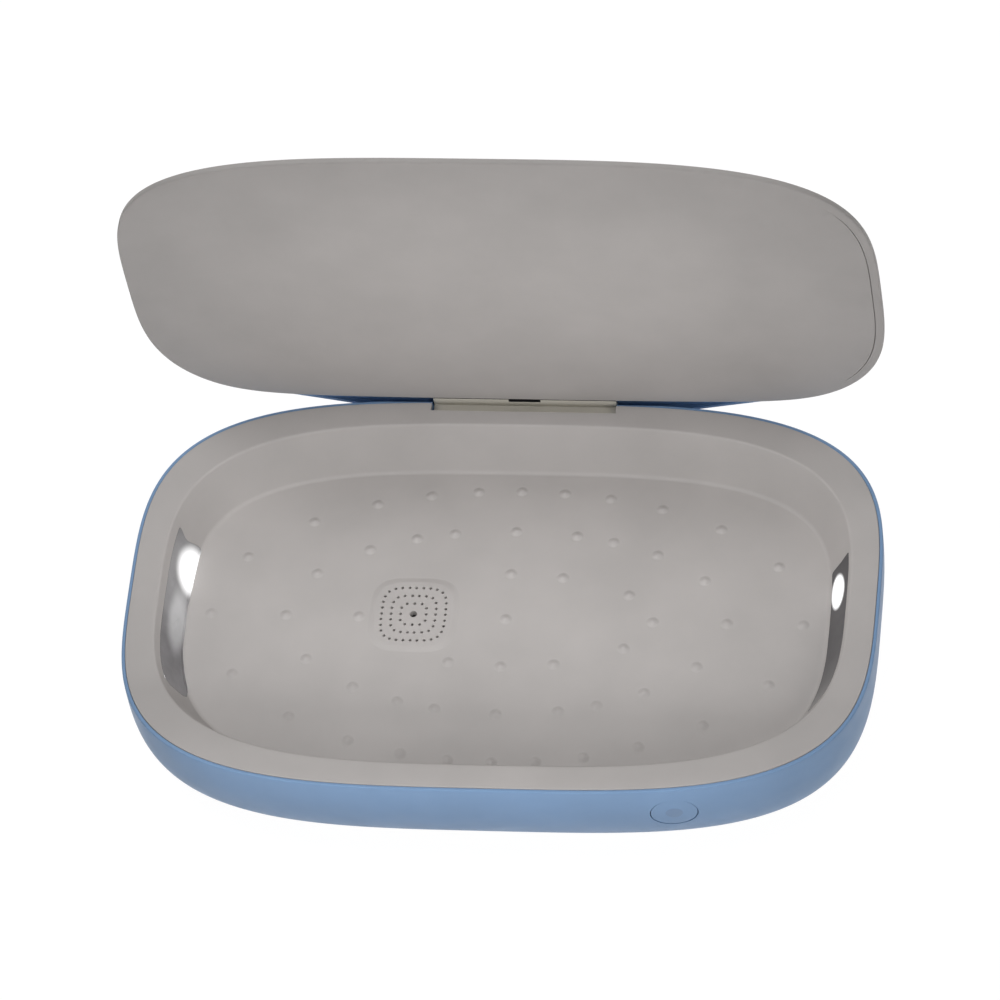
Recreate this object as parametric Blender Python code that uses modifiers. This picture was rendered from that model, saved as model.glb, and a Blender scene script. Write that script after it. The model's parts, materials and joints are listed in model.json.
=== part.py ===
"""Sanitizer box for phones, lid standing open, built as separate pieces.

Metres, +Z up. Origin in the middle of the underside of the silicone pad,
+X to the right seen from the front, +Y to the rear hinge.
"""
import math

import bmesh
import bpy
from mathutils import Matrix, Vector

MM = 0.001
FIT = 0.3 * MM
SEGMENTS = 64

# overall body
WIDTH = 218.0 * MM
DEPTH = 138.0 * MM
RIM_Z = 37.0 * MM
OUTLINE_POWER = 3.5
BOWL_POWER = 3.0
BOWL_INSET = 26.0 * MM
BOWL_STEPS = 9
WALL = 2.2 * MM
LIP = 1.0 * MM
LIP_DROP = 0.3 * MM

# silicone pad under the floor
PAD_THICK = 1.0 * MM
PAD_INSET = 4.0 * MM
SHELL_BASE_Z = PAD_THICK + FIT

# tray
FLANGE_THICK = 1.6 * MM
TRAY_WALL = 1.8 * MM
RIM_WIDTH = 9.0 * MM
BASIN_POWER = 3.3
BASIN_DRAFT = 6.3 * MM
END_DRAFT = 7.4 * MM
FLOOR_CREST = 12.0 * MM
FLOOR_FALL = 4.0 * MM
EDGE_ROUND = 0.5 * MM

# raised bumps on the tray floor
BUMP_RADIUS = 1.65 * MM
BUMP_HEIGHT = 0.75 * MM
BUMP_STEP_DEG = 15
OUTER_RING = (WIDTH / 2 - 22.7 * MM, DEPTH / 2 - 21.0 * MM)
SECOND_RING = (WIDTH / 2 - 44.8 * MM, DEPTH / 2 - 36.7 * MM)
THIRD_RING = (WIDTH / 2 - 66.2 * MM, DEPTH / 2 - 52.6 * MM)
BUMP_SHIFT_Y = -1.0 * MM

# scent grille in the tray floor
GRILLE_X = -27.0 * MM
GRILLE_RING_HALVES = (3.75 * MM, 6.5 * MM, 9.3 * MM)
GRILLE_RING_COUNTS = (12, 22, 32)
GRILLE_HOLE = 0.4 * MM
GRILLE_CENTRE_HOLE = 1.1 * MM
GRILLE_PAD = 12.0 * MM
GRILLE_PAD_RISE = 0.3 * MM
CUP_RADIUS = 13.0 * MM
CUP_DEPTH = 6.0 * MM
CUP_WALL = 1.2 * MM

# end windows for the lamps
WINDOW_MID_Y = -6.0 * MM
WINDOW_HALF = 29.0 * MM
WINDOW_TOP = 1.0 * MM
WINDOW_BOTTOM = 11.5 * MM
WINDOW_THICK = 1.3 * MM
WINDOW_CORNER = 3.0 * MM
WINDOW_FROM_END = (25.0 * MM, 7.0 * MM)
LAMP_BOARD_X = WIDTH / 2 - 6.5 * MM
LAMP_BOARD_THICK = 1.0 * MM
LAMP_BOARD_LEN = 43.0 * MM
LAMP_PITCH = 12.5 * MM
LAMP_SIZE = 3.5 * MM
LAMP_HEIGHT = 1.2 * MM

# hinge
HINGE_Y = DEPTH / 2 - 3.6 * MM
HINGE_DROP = 4.0 * MM
HINGE_Z = RIM_Z - HINGE_DROP
LID_OPEN_DEG = 83.5
PIN_RADIUS = 1.0 * MM
PIN_HOLE = PIN_RADIUS + 0.25 * MM
NOTCH_HALF = 27.3 * MM
NOTCH_FRONT_Y = HINGE_Y - 0.4 * MM
KNUCKLE_HALF = NOTCH_HALF - FIT
BOSS_RADIUS = 2.1 * MM
EAR_LEN = 5.7 * MM
REAR_ROUND = 4.55 * MM
REAR_ROUND_HALF = WIDTH / 2 - 47.0 * MM

# lid
LID_HALF_X = WIDTH / 2 - 0.1 * MM
LID_HALF_Y = DEPTH / 2 - 1.0 * MM
LID_MID_Y = 0.7 * MM
LID_OVERHANG = 1.3 * MM
PANEL_STEP = 0.6 * MM
PANEL_INSET = 2.6 * MM
LINER_THICK = 1.2 * MM
CHORD_Y = HINGE_Y - 4.0 * MM
PANEL_Z = RIM_Z + FIT
BAND_Z = PANEL_Z + PANEL_STEP
LID_Z = BAND_Z + LINER_THICK + FIT
LID_EDGE = 0.6 * MM
LID_RISE = 9.6 * MM
LID_POWER = 2.2
LID_LEDGE = 8.0 * MM
LID_SKIN = 2.0 * MM
SKIRT_THICK = 1.1 * MM
SKIRT_CLEAR = REAR_ROUND + 0.35 * MM
SKIRT_HALF = REAR_ROUND_HALF - 2.0 * MM

# button in the front wall
BUTTON_X = WIDTH / 2 - 54.6 * MM
BUTTON_DROP = 12.0 * MM
BUTTON_RADIUS = 6.6 * MM
BUTTON_TRAVEL = 0.6 * MM
GUIDE_RADIUS = 2.45 * MM
BUTTON_LIP = 0.8 * MM
BUTTON_LIP_OUT = 1.0 * MM
BUTTON_SEAT = 2.3 * MM
SWITCH_SIZE = 4.4 * MM
PLUNGER_RADIUS = 1.1 * MM
POST_DROP = 3.9 * MM

# electronics under the tray
BOARD_THICK = 1.6 * MM
BOARD_Z = RIM_Z - 25.3 * MM
BOARD_HALF_X = 42.0 * MM
BOARD_Y = (DEPTH / 2 - 55.8 * MM, DEPTH / 2 - 10.3 * MM)
BOARD_SCREW_INSET = 4.0 * MM
SOCKET_HALF = (4.47 * MM, 3.65 * MM, 1.6 * MM)
SOCKET_DROP = 21.9 * MM

# screws that hold the tray to the shell
SCREW_X = WIDTH / 2 - 47.0 * MM
SCREW_Y = DEPTH / 2 - 40.0 * MM
SCREW_HEAD = 2.6 * MM
SCREW_SHANK = 1.1 * MM
SCREW_LEN = 13.0 * MM
BOSS_OUTER = 3.4 * MM

COLLECTION = "phone_sanitizer_box"


def clear_scene():
    for item in list(bpy.data.objects):
        bpy.data.objects.remove(item, do_unlink=True)


def collection(name):
    made = bpy.data.collections.new(name)
    bpy.context.scene.collection.children.link(made)
    return made


def linear(channel):
    value = channel / 255.0
    if value <= 0.04045:
        return value / 12.92
    return ((value + 0.055) / 1.055) ** 2.4


def material(name, rgb, rough, metal=0.0):
    made = bpy.data.materials.new(name)
    made.use_nodes = True
    shader = made.node_tree.nodes["Principled BSDF"]
    colour = [linear(c) for c in rgb] + [1.0]
    shader.inputs["Base Color"].default_value = colour
    shader.inputs["Roughness"].default_value = rough
    shader.inputs["Metallic"].default_value = metal
    made.diffuse_color = colour
    return made


clear_scene()
PARTS = collection(COLLECTION)
CUTTERS = collection("cutters")

BLUE = material("shell_blue", (132, 168, 212), 0.48)
GREY = material("tray_grey", (196, 191, 188), 0.55)
LINER_GREY = material("liner_grey", (190, 185, 181), 0.55)
KNUCKLE_GREY = material("knuckle_grey", (176, 172, 162), 0.5)
MIRROR = material("window_mirror", (205, 206, 208), 0.08, 1.0)
SILICONE = material("silicone_dark", (58, 60, 64), 0.8)
STEEL = material("steel_bright", (178, 178, 180), 0.3, 1.0)
SCREW_STEEL = material("screw_steel", (120, 121, 124), 0.4, 1.0)
BOARD_GREEN = material("board_green", (34, 92, 58), 0.5)
BOARD_WHITE = material("board_white", (222, 222, 216), 0.5)
BOARD_BLACK = material("board_black", (38, 42, 44), 0.5)
CERAMIC = material("lamp_ceramic", (224, 214, 188), 0.35)
CHIP_BLACK = material("chip_black", (28, 28, 30), 0.55)
COIL_GREY = material("coil_grey", (70, 68, 66), 0.6)
SWITCH_BLACK = material("switch_black", (34, 34, 36), 0.5)
PLUNGER_WHITE = material("plunger_white", (226, 224, 218), 0.45)
GUIDE_CLEAR = material("guide_frost", (122, 150, 190), 0.25)
CUP_WHITE = material("cup_white", (214, 212, 206), 0.5)
FELT = material("felt_white", (236, 234, 226), 0.95)
MAGNET = material("magnet_nickel", (150, 150, 152), 0.28, 1.0)
LED_WHITE = material("led_white", (238, 236, 226), 0.3)


def place(name, mesh, mat, home=None):
    made = bpy.data.objects.new(name, mesh)
    (home or PARTS).objects.link(made)
    if mat is not None:
        mesh.materials.append(mat)
    if home is CUTTERS:
        made.hide_render = True
        made.display_type = "WIRE"
    return made


def mesh_from(name, build, smooth=True):
    bm = bmesh.new()
    build(bm)
    bmesh.ops.recalc_face_normals(bm, faces=bm.faces)
    mesh = bpy.data.meshes.new(name)
    bm.to_mesh(mesh)
    bm.free()
    for face in mesh.polygons:
        face.use_smooth = smooth
    if smooth:
        mesh.set_sharp_from_angle(angle=math.radians(32))
    return mesh


def signed_power(value, power):
    return math.copysign(abs(value) ** power, value)


def outline(half_x, half_y, power=OUTLINE_POWER, count=SEGMENTS):
    points = []
    for i in range(count):
        t = 2.0 * math.pi * i / count
        x = half_x * signed_power(math.cos(t), 2.0 / power)
        y = half_y * signed_power(math.sin(t), 2.0 / power)
        points.append((x, y))
    return points


def ring(half_x, half_y, height, power=OUTLINE_POWER, count=SEGMENTS):
    level = height if callable(height) else (lambda x, y: height)
    return [(x, y, level(x, y)) for x, y in outline(half_x, half_y, power, count)]


def loft(bm, rings, closed=False):
    """Skin a list of rings; capped at both ends, or joined round into a band."""
    rows = [[bm.verts.new(p) for p in points] for points in rings]
    count = len(rows[0])
    pairs = list(zip(rows, rows[1:]))
    if closed:
        pairs.append((rows[-1], rows[0]))
    for low, high in pairs:
        for i in range(count):
            j = (i + 1) % count
            bm.faces.new((low[i], low[j], high[j], high[i]))
    if not closed:
        bm.faces.new(rows[0])
        bm.faces.new(rows[-1])


def lofted(name, rings, mat, home=None, closed=False):
    return place(name, mesh_from(name, lambda bm: loft(bm, rings, closed)), mat, home)


def frame_matrix(origin, across, up):
    """Matrix whose x is across, y is up and z points along across x up."""
    x = Vector(across).normalized()
    y = Vector(up).normalized()
    z = x.cross(y).normalized()
    y = z.cross(x)
    made = Matrix((x, y, z)).transposed().to_4x4()
    made.translation = Vector(origin)
    return made


def add_cylinder(bm, radius, bottom, top, spot=Matrix(), sides=24, cone=None):
    height = top - bottom
    move = spot @ Matrix.Translation((0, 0, (top + bottom) / 2))
    bmesh.ops.create_cone(bm, cap_ends=True, segments=sides, radius1=radius,
                          radius2=radius if cone is None else cone,
                          depth=height, matrix=move)


def add_box(bm, low, high, spot=Matrix()):
    size = [b - a for a, b in zip(low, high)]
    mid = [(a + b) / 2 for a, b in zip(low, high)]
    move = spot @ Matrix.Translation(mid) @ Matrix.Diagonal((*size, 1.0))
    bmesh.ops.create_cube(bm, size=1.0, matrix=move)


def add_prism(bm, profile, low, high, to_world):
    """Extrude a flat profile from low to high; to_world maps (u, v, w) to a point."""
    ends = [[bm.verts.new(to_world(u, v, w)) for u, v in profile] for w in (low, high)]
    count = len(profile)
    for i in range(count):
        j = (i + 1) % count
        bm.faces.new((ends[0][i], ends[0][j], ends[1][j], ends[1][i]))
    bm.faces.new(ends[0])
    bm.faces.new(ends[1])


def rounded_rect(mid_u, mid_v, half_u, half_v, radius, steps=4):
    points = []
    corners = ((1, 1, 0), (-1, 1, 90), (-1, -1, 180), (1, -1, 270))
    for side_u, side_v, start in corners:
        cu = mid_u + side_u * (half_u - radius)
        cv = mid_v + side_v * (half_v - radius)
        for k in range(steps + 1):
            angle = math.radians(start + 90.0 * k / steps)
            points.append((cu + radius * math.cos(angle), cv + radius * math.sin(angle)))
    return points


def boolean(target, tool, mode):
    made = target.modifiers.new(mode.lower() + "_" + tool.name, "BOOLEAN")
    made.operation = mode
    made.solver = "EXACT"
    made.object = tool


def cut(target, *tools):
    for tool in tools:
        boolean(target, tool, "DIFFERENCE")


def join(target, *tools):
    for tool in tools:
        boolean(target, tool, "UNION")


def cutter(name, build):
    return place(name, mesh_from(name, build, smooth=True), None, CUTTERS)


def piece(name, build, mat, smooth=True):
    return place(name, mesh_from(name, build, smooth), mat)


def bevelled(target, width, segments=1, angle=40):
    made = target.modifiers.new("edge", "BEVEL")
    made.width = width
    made.segments = segments
    made.limit_method = "ANGLE"
    made.angle_limit = math.radians(angle)
    return target


# forms of the base


def bowl_point(turn, drop, inset):
    """Height below the rim and inward offset of the bowl at one turn of its wall."""
    down = drop * max(math.sin(turn), 0.0) ** (2.0 / BOWL_POWER)
    inward = inset * (1.0 - max(math.cos(turn), 0.0) ** (2.0 / BOWL_POWER))
    return down, inward


def bowl_inset_at(down, drop):
    return BOWL_INSET * (1.0 - (1.0 - (down / drop) ** BOWL_POWER) ** (1.0 / BOWL_POWER))


def bowl_rings(skin, floor_z, steps, first=0):
    """Rings of the bowl surface lying skin inside the outer face, rim first."""
    drop = RIM_Z - floor_z
    rings = []
    for k in range(first, steps + 1):
        down, inward = bowl_point(math.pi / 2 * k / steps, drop, BOWL_INSET)
        edge = skin + inward
        rings.append(ring(WIDTH / 2 - edge, DEPTH / 2 - edge, RIM_Z - down))
    return rings


def shell_outer_rings():
    rings = bowl_rings(0.0, SHELL_BASE_Z, BOWL_STEPS, first=1)
    small = 0.35 * MM
    top = RIM_Z - LIP_DROP
    head = [ring(WIDTH / 2 - small, DEPTH / 2 - small, top),
            ring(WIDTH / 2, DEPTH / 2, top - small)]
    return head + rings


def build_base_shell():
    step_z = RIM_Z - FLANGE_THICK - FIT
    top = RIM_Z - LIP_DROP
    lip = [ring(WIDTH / 2 - LIP, DEPTH / 2 - LIP, top),
           ring(WIDTH / 2 - LIP, DEPTH / 2 - LIP, step_z),
           ring(WIDTH / 2 - WALL, DEPTH / 2 - WALL, step_z)]
    inner = bowl_rings(WALL, SHELL_BASE_Z + WALL, 6, first=2)
    rings = list(reversed(shell_outer_rings())) + lip + inner
    shell = lofted("base_shell", rings, BLUE)
    join(shell, ear_blocks(), board_pillars(), button_ribs())
    cut(shell, notch_cutter(), pin_bore(), rear_rounding(), socket_window(),
        button_bore(), screw_bores(), pillar_bores())
    return shell


def notch_cutter():
    """Opening for the hinge knuckle through the rear wall and its lip."""
    low = (-NOTCH_HALF, HINGE_Y - BOSS_RADIUS - 2 * FIT, HINGE_Z - 3.7 * MM)
    high = (NOTCH_HALF, DEPTH / 2 + 4 * MM, RIM_Z + 5 * MM)
    return cutter("shell_notch", lambda bm: add_box(bm, low, high))


def ear_blocks():
    top = RIM_Z - FLANGE_THICK - 2 * FIT
    low_z = HINGE_Z - 2.6 * MM
    front = HINGE_Y - 2.4 * MM
    back = DEPTH / 2 - 1.4 * MM

    def build(bm):
        for side in (-1, 1):
            a = side * (NOTCH_HALF - MM)
            b = side * (NOTCH_HALF + EAR_LEN)
            add_box(bm, (min(a, b), front, low_z), (max(a, b), back, top))
    return cutter("ear_blocks", build)


def pin_spot():
    return frame_matrix((0, HINGE_Y, HINGE_Z), (0, 1, 0), (0, 0, 1))


def pin_bore():
    reach = NOTCH_HALF + EAR_LEN - 1.2 * MM
    return cutter("pin_bore", lambda bm: add_cylinder(bm, PIN_HOLE, -reach, reach, pin_spot(), 16))


def rear_rounding():
    """Removes the rear rim outside an arc about the hinge, so the lid edge can swing."""
    far = 9.0 * MM
    profile = []
    for k in range(7):
        angle = math.radians(90.0 - 15.0 * k)
        profile.append((HINGE_Y + REAR_ROUND * math.cos(angle),
                        HINGE_Z + REAR_ROUND * math.sin(angle)))
    profile += [(HINGE_Y + far, HINGE_Z), (HINGE_Y + far, HINGE_Z + far), (HINGE_Y, HINGE_Z + far)]
    half = REAR_ROUND_HALF
    return cutter("rear_rounding", lambda bm: add_prism(
        bm, profile, -half, half, lambda u, v, w: (w, u, v)))


def socket_window():
    profile = rounded_rect(0, RIM_Z - SOCKET_DROP, SOCKET_HALF[0] + 0.5 * MM,
                           SOCKET_HALF[2] + 0.5 * MM, 1.9 * MM)
    return cutter("socket_window", lambda bm: add_prism(
        bm, profile, DEPTH / 2 - 17 * MM, DEPTH / 2 + 6 * MM, lambda u, v, w: (u, w, v)))


def screw_spots():
    return [(sx * SCREW_X, sy * SCREW_Y) for sx in (-1, 1) for sy in (-1, 1)]


def screw_bores():
    """Stepped bores: a wide recess for the head and a narrow hole for the shank."""
    step = SHELL_BASE_Z + 1.3 * MM
    wide = SCREW_HEAD + FIT
    narrow = SCREW_SHANK + FIT

    def build(bm):
        for x, y in screw_spots():
            turns = ((wide, 0.0), (wide, step), (narrow, step), (narrow, SHELL_BASE_Z + WALL + MM))
            loft(bm, [circle(x, y, radius, height, 16) for radius, height in turns])
    return cutter("screw_bores", build)


def pillar_spots():
    edge = BOARD_SCREW_INSET
    return [(sx * (BOARD_HALF_X - edge), y) for sx in (-1, 1)
            for y in (BOARD_Y[0] + edge, BOARD_Y[1] - 4.5 * edge)]


def board_pillars():
    def build(bm):
        for x, y in pillar_spots():
            add_cylinder(bm, 2.6 * MM, SHELL_BASE_Z + MM, BOARD_Z - FIT,
                         Matrix.Translation((x, y, 0)), 12, cone=2.2 * MM)
    return cutter("board_pillars", build)


def pillar_bores():
    def build(bm):
        for x, y in pillar_spots():
            add_cylinder(bm, 1.2 * MM, BOARD_Z - 6 * MM, BOARD_Z + MM,
                         Matrix.Translation((x, y, 0)), 10)
    return cutter("pillar_bores", build)


def build_pad():
    half_x = WIDTH / 2 - BOWL_INSET - PAD_INSET
    half_y = DEPTH / 2 - BOWL_INSET - PAD_INSET
    chamfer = 0.3 * MM
    rings = [ring(half_x - chamfer, half_y - chamfer, 0.0, count=48),
             ring(half_x, half_y, chamfer, count=48),
             ring(half_x, half_y, PAD_THICK, count=48)]
    return lofted("non_slip_pad", rings, SILICONE)


def build_screws():
    mesh = screw_mesh("case_screw", SCREW_HEAD, SCREW_SHANK, SCREW_LEN, 1.0 * MM)
    for index, (x, y) in enumerate(screw_spots()):
        made = place("case_screw_%d" % (index + 1), mesh, None)
        made.location = (x, y, SHELL_BASE_Z)


def screw_mesh(name, head, shank, length, head_height, sides=12):
    """Screw turned about its axis: chamfered head, shank and pointed end."""
    turns = ((head - 0.4 * MM, 0.0), (head, 0.3 * MM), (head, head_height),
             (shank, head_height), (shank, length - MM), (shank * 0.4, length))
    rings = [circle(0.0, 0.0, radius, height, sides) for radius, height in turns]
    mesh = mesh_from(name, lambda bm: loft(bm, rings))
    mesh.materials.append(SCREW_STEEL)
    return mesh


# forms of the tray


def floor_level(x, y):
    spread = DEPTH / 2 - RIM_WIDTH - BASIN_DRAFT
    return RIM_Z - FLOOR_CREST - FLOOR_FALL * (y / spread) ** 2


def basin_ring(inset, height):
    """Ring on the basin wall; the end walls lean in more than the long ones."""
    half_x = WIDTH / 2 - RIM_WIDTH - inset * END_DRAFT / BASIN_DRAFT
    half_y = DEPTH / 2 - RIM_WIDTH - inset
    return ring(half_x, half_y, height, BASIN_POWER)


def floor_ring(scale, drop=0.0):
    half_x = WIDTH / 2 - RIM_WIDTH - END_DRAFT
    half_y = DEPTH / 2 - RIM_WIDTH - BASIN_DRAFT
    return ring(half_x * scale, half_y * scale,
                lambda x, y: floor_level(x, y) - drop, BASIN_POWER)


def wall_rings():
    """The drafted inner wall, from just under the rim edge to just above the floor."""
    upper = basin_ring(EDGE_ROUND, RIM_Z - EDGE_ROUND * 1.8)
    lower = basin_ring(BASIN_DRAFT - 1.1 * MM, lambda x, y: floor_level(x, y) + 1.5 * MM)
    return upper, lower


def build_tray():
    edge = LIP + FIT
    upper, lower = wall_rings()
    top_side = [ring(WIDTH / 2 - edge, DEPTH / 2 - edge, RIM_Z - FLANGE_THICK),
                ring(WIDTH / 2 - edge, DEPTH / 2 - edge, RIM_Z - 0.25 * MM),
                ring(WIDTH / 2 - edge - 0.25 * MM, DEPTH / 2 - edge - 0.25 * MM, RIM_Z),
                basin_ring(-0.35 * MM, RIM_Z),
                basin_ring(0.1 * MM, RIM_Z - 0.25 * MM),
                upper, lower,
                basin_ring(BASIN_DRAFT - 0.35 * MM, lambda x, y: floor_level(x, y) + 0.45 * MM),
                floor_ring(0.985), floor_ring(0.8), floor_ring(0.55), floor_ring(0.3),
                floor_ring(0.08)]
    under = [floor_ring(0.08, TRAY_WALL), floor_ring(0.5, TRAY_WALL), floor_ring(0.85, TRAY_WALL),
             basin_ring(BASIN_DRAFT - TRAY_WALL - 0.3 * MM,
                        lambda x, y: floor_level(x, y) - TRAY_WALL + 0.8 * MM),
             basin_ring(EDGE_ROUND - TRAY_WALL, RIM_Z - FLANGE_THICK)]
    rings = list(reversed(top_side))
    tray = lofted_tray(rings, under)
    join(tray, grille_pad(), floor_bumps(), tray_bosses())
    cut(tray, tray_notch(), tray_rounding(), window_cut(-1), window_cut(1),
        grille_holes(), boss_bores())
    return tray


def lofted_tray(top_rings, under_rings):
    """Top surface from the middle outwards, then the underside back to the middle."""
    outward = list(reversed(under_rings))
    return lofted("inner_tray", top_rings + outward, GREY)


def ring_angle_spots(half, angles):
    """Spots on an ellipse at given polar angles measured from the rear."""
    spots = []
    for degrees in angles:
        t = math.radians(degrees)
        reach = 1.0 / math.hypot(math.sin(t) / half[0], math.cos(t) / half[1])
        spots.append((reach * math.sin(t), reach * math.cos(t) + BUMP_SHIFT_Y))
    return spots


def bump_spots():
    turns = range(0, 360, BUMP_STEP_DEG)
    second = [t for t in turns if t % 180 not in (BUMP_STEP_DEG, 180 - BUMP_STEP_DEG)]
    third = [t for t in turns if t % 180 in (0, 45, 75, 90, 105, 135)]
    spots = ring_angle_spots(OUTER_RING, turns)
    spots += ring_angle_spots(SECOND_RING, second)
    spots += ring_angle_spots(THIRD_RING, third)
    spots.append((0.0, BUMP_SHIFT_Y))
    clear = GRILLE_PAD + 2 * BUMP_RADIUS
    return [(x, y) for x, y in spots
            if max(abs(x - GRILLE_X), abs(y)) > clear or x > 0]


def floor_bumps():
    def build(bm):
        for x, y in bump_spots():
            move = Matrix.Translation((x, y, floor_level(x, y) - 0.05 * MM))
            shape = Matrix.Diagonal((BUMP_RADIUS, BUMP_RADIUS, BUMP_HEIGHT, 1.0))
            bmesh.ops.create_uvsphere(bm, u_segments=6, v_segments=4, radius=1.0,
                                      matrix=move @ shape)
    return cutter("floor_bumps", build)


def grille_pad():
    base = floor_level(0, GRILLE_PAD) - 0.6 * MM
    top = floor_level(0, 0) + GRILLE_PAD_RISE
    edge = 0.8 * MM

    def build(bm):
        rings = []
        for half, height in ((GRILLE_PAD, base), (GRILLE_PAD, top - 0.15 * MM),
                             (GRILLE_PAD - edge, top)):
            flat = outline(half, half, 3.6, 24)
            rings.append([(x + GRILLE_X, y, height) for x, y in flat])
        loft(bm, rings)
    return cutter("grille_pad", build)


def grille_holes():
    low = floor_level(0, 0) - TRAY_WALL - 2 * MM
    high = floor_level(0, 0) + 3 * MM

    def build(bm):
        add_cylinder(bm, GRILLE_CENTRE_HOLE, low, high, Matrix.Translation((GRILLE_X, 0, 0)), 12)
        for half, count in zip(GRILLE_RING_HALVES, GRILLE_RING_COUNTS):
            for x, y in even_spots(half, count):
                spot = Matrix.Translation((GRILLE_X + x, y, 0))
                add_cylinder(bm, GRILLE_HOLE, low, high, spot, 6)
    return cutter("grille_holes", build)


def even_spots(half, count, power=4.0, fine=720):
    """Spots spaced evenly along a rounded square of one half size."""
    path = outline(half, half, power, fine)
    lengths = [0.0]
    for i in range(fine):
        a = path[i]
        b = path[(i + 1) % fine]
        lengths.append(lengths[-1] + math.hypot(b[0] - a[0], b[1] - a[1]))
    spots = []
    index = 0
    for k in range(count):
        goal = lengths[-1] * k / count
        while lengths[index + 1] < goal:
            index += 1
        spots.append(path[index])
    return spots


def tray_bosses():
    def build(bm):
        for x, y in screw_spots():
            top = floor_level(x, y) - 0.6 * MM
            add_cylinder(bm, BOSS_OUTER, SHELL_BASE_Z + WALL + FIT, top,
                         Matrix.Translation((x, y, 0)), 16)
    return cutter("tray_bosses", build)


def boss_bores():
    def build(bm):
        for x, y in screw_spots():
            top = SHELL_BASE_Z + SCREW_LEN + 0.8 * MM
            add_cylinder(bm, SCREW_SHANK + FIT, SHELL_BASE_Z, top,
                         Matrix.Translation((x, y, 0)), 10)
    return cutter("boss_bores", build)


def tray_notch():
    low = (-NOTCH_HALF, NOTCH_FRONT_Y, RIM_Z - 4 * MM)
    high = (NOTCH_HALF, DEPTH / 2 + 4 * MM, RIM_Z + 4 * MM)
    return cutter("tray_notch", lambda bm: add_box(bm, low, high))


def tray_rounding():
    made = rear_rounding()
    made.name = "tray_rounding"
    return made


def window_profile(grow):
    mid_z = RIM_Z - (WINDOW_TOP + WINDOW_BOTTOM) / 2
    half_z = (WINDOW_BOTTOM - WINDOW_TOP) / 2 + grow
    return rounded_rect(WINDOW_MID_Y, mid_z, WINDOW_HALF + grow, half_z, WINDOW_CORNER + grow)


def window_prism(name, side, grow):
    inner, outer = (WIDTH / 2 - back for back in WINDOW_FROM_END)
    a, b = sorted((side * inner, side * outer))
    return cutter(name, lambda bm: add_prism(
        bm, window_profile(grow), a, b, lambda u, v, w: (w, u, v)))


def window_cut(side):
    label = "left" if side < 0 else "right"
    return window_prism("window_cut_" + label, side, FIT)


def wall_back(half_ring, out):
    """The same ring moved outwards by a constant share of its half sizes."""
    half_x = max(abs(x) for x, y, z in half_ring)
    half_y = max(abs(y) for x, y, z in half_ring)
    return [(x * (1 + out / half_x), y * (1 + out / half_y), z) for x, y, z in half_ring]


def build_window(side):
    """Mirror strip cut from the same drafted surface as the tray wall."""
    label = "left" if side < 0 else "right"
    upper, lower = wall_rings()
    sink = 0.05 * MM
    rings = [wall_back(upper, sink), wall_back(lower, sink),
             wall_back(lower, WINDOW_THICK), wall_back(upper, WINDOW_THICK)]
    strip = lofted("uv_window_" + label, rings, MIRROR, closed=True)
    keep = window_prism("window_keep_" + label, side, 0.0)
    boolean(strip, keep, "INTERSECT")
    return strip


def build_lamp_board(side):
    label = "left" if side < 0 else "right"
    top = RIM_Z - FLANGE_THICK - FIT
    a, b = sorted((side * LAMP_BOARD_X, side * (LAMP_BOARD_X + LAMP_BOARD_THICK)))
    half = LAMP_BOARD_LEN / 2
    board = piece("lamp_board_" + label, lambda bm: add_box(
        bm, (a, WINDOW_MID_Y - half, top - 10 * MM), (b, WINDOW_MID_Y + half, top)),
        BOARD_WHITE, smooth=False)
    face = LAMP_BOARD_X - FIT
    a, b = sorted((side * face, side * (face - LAMP_HEIGHT)))
    half = LAMP_SIZE / 2
    for k in (-1, 0, 1):
        y = WINDOW_MID_Y + k * LAMP_PITCH
        lamp = piece("uv_lamp_%s_%d" % (label, k + 2), lambda bm: add_box(
            bm, (a, y - half, top - 5 * MM - half), (b, y + half, top - 5 * MM + half)),
            CERAMIC, smooth=False)
        bevelled(lamp, 0.25 * MM)


# scent cup under the grille


def build_scent():
    top = floor_level(0, CUP_RADIUS) - TRAY_WALL - FIT
    spot = Matrix.Translation((GRILLE_X, 0, 0))
    bottom = top - CUP_DEPTH
    inner = CUP_RADIUS - CUP_WALL

    def cup(bm):
        rings = []
        for radius, height in ((inner, bottom + CUP_WALL), (inner, top), (CUP_RADIUS, top),
                               (CUP_RADIUS, bottom + 0.6 * MM), (CUP_RADIUS - 0.6 * MM, bottom)):
            rings.append(circle(GRILLE_X, 0.0, radius, height, 32))
        loft(bm, rings)
    piece("scent_cup", cup, CUP_WHITE)

    def pad(bm):
        add_cylinder(bm, inner - FIT, bottom + CUP_WALL + FIT, top - 1.2 * MM, spot, 28)
    piece("scent_pad", pad, FELT)


def circle(x, y, radius, height, sides):
    return [(x + radius * math.cos(2 * math.pi * i / sides),
             y + radius * math.sin(2 * math.pi * i / sides), height) for i in range(sides)]


# board and socket


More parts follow.
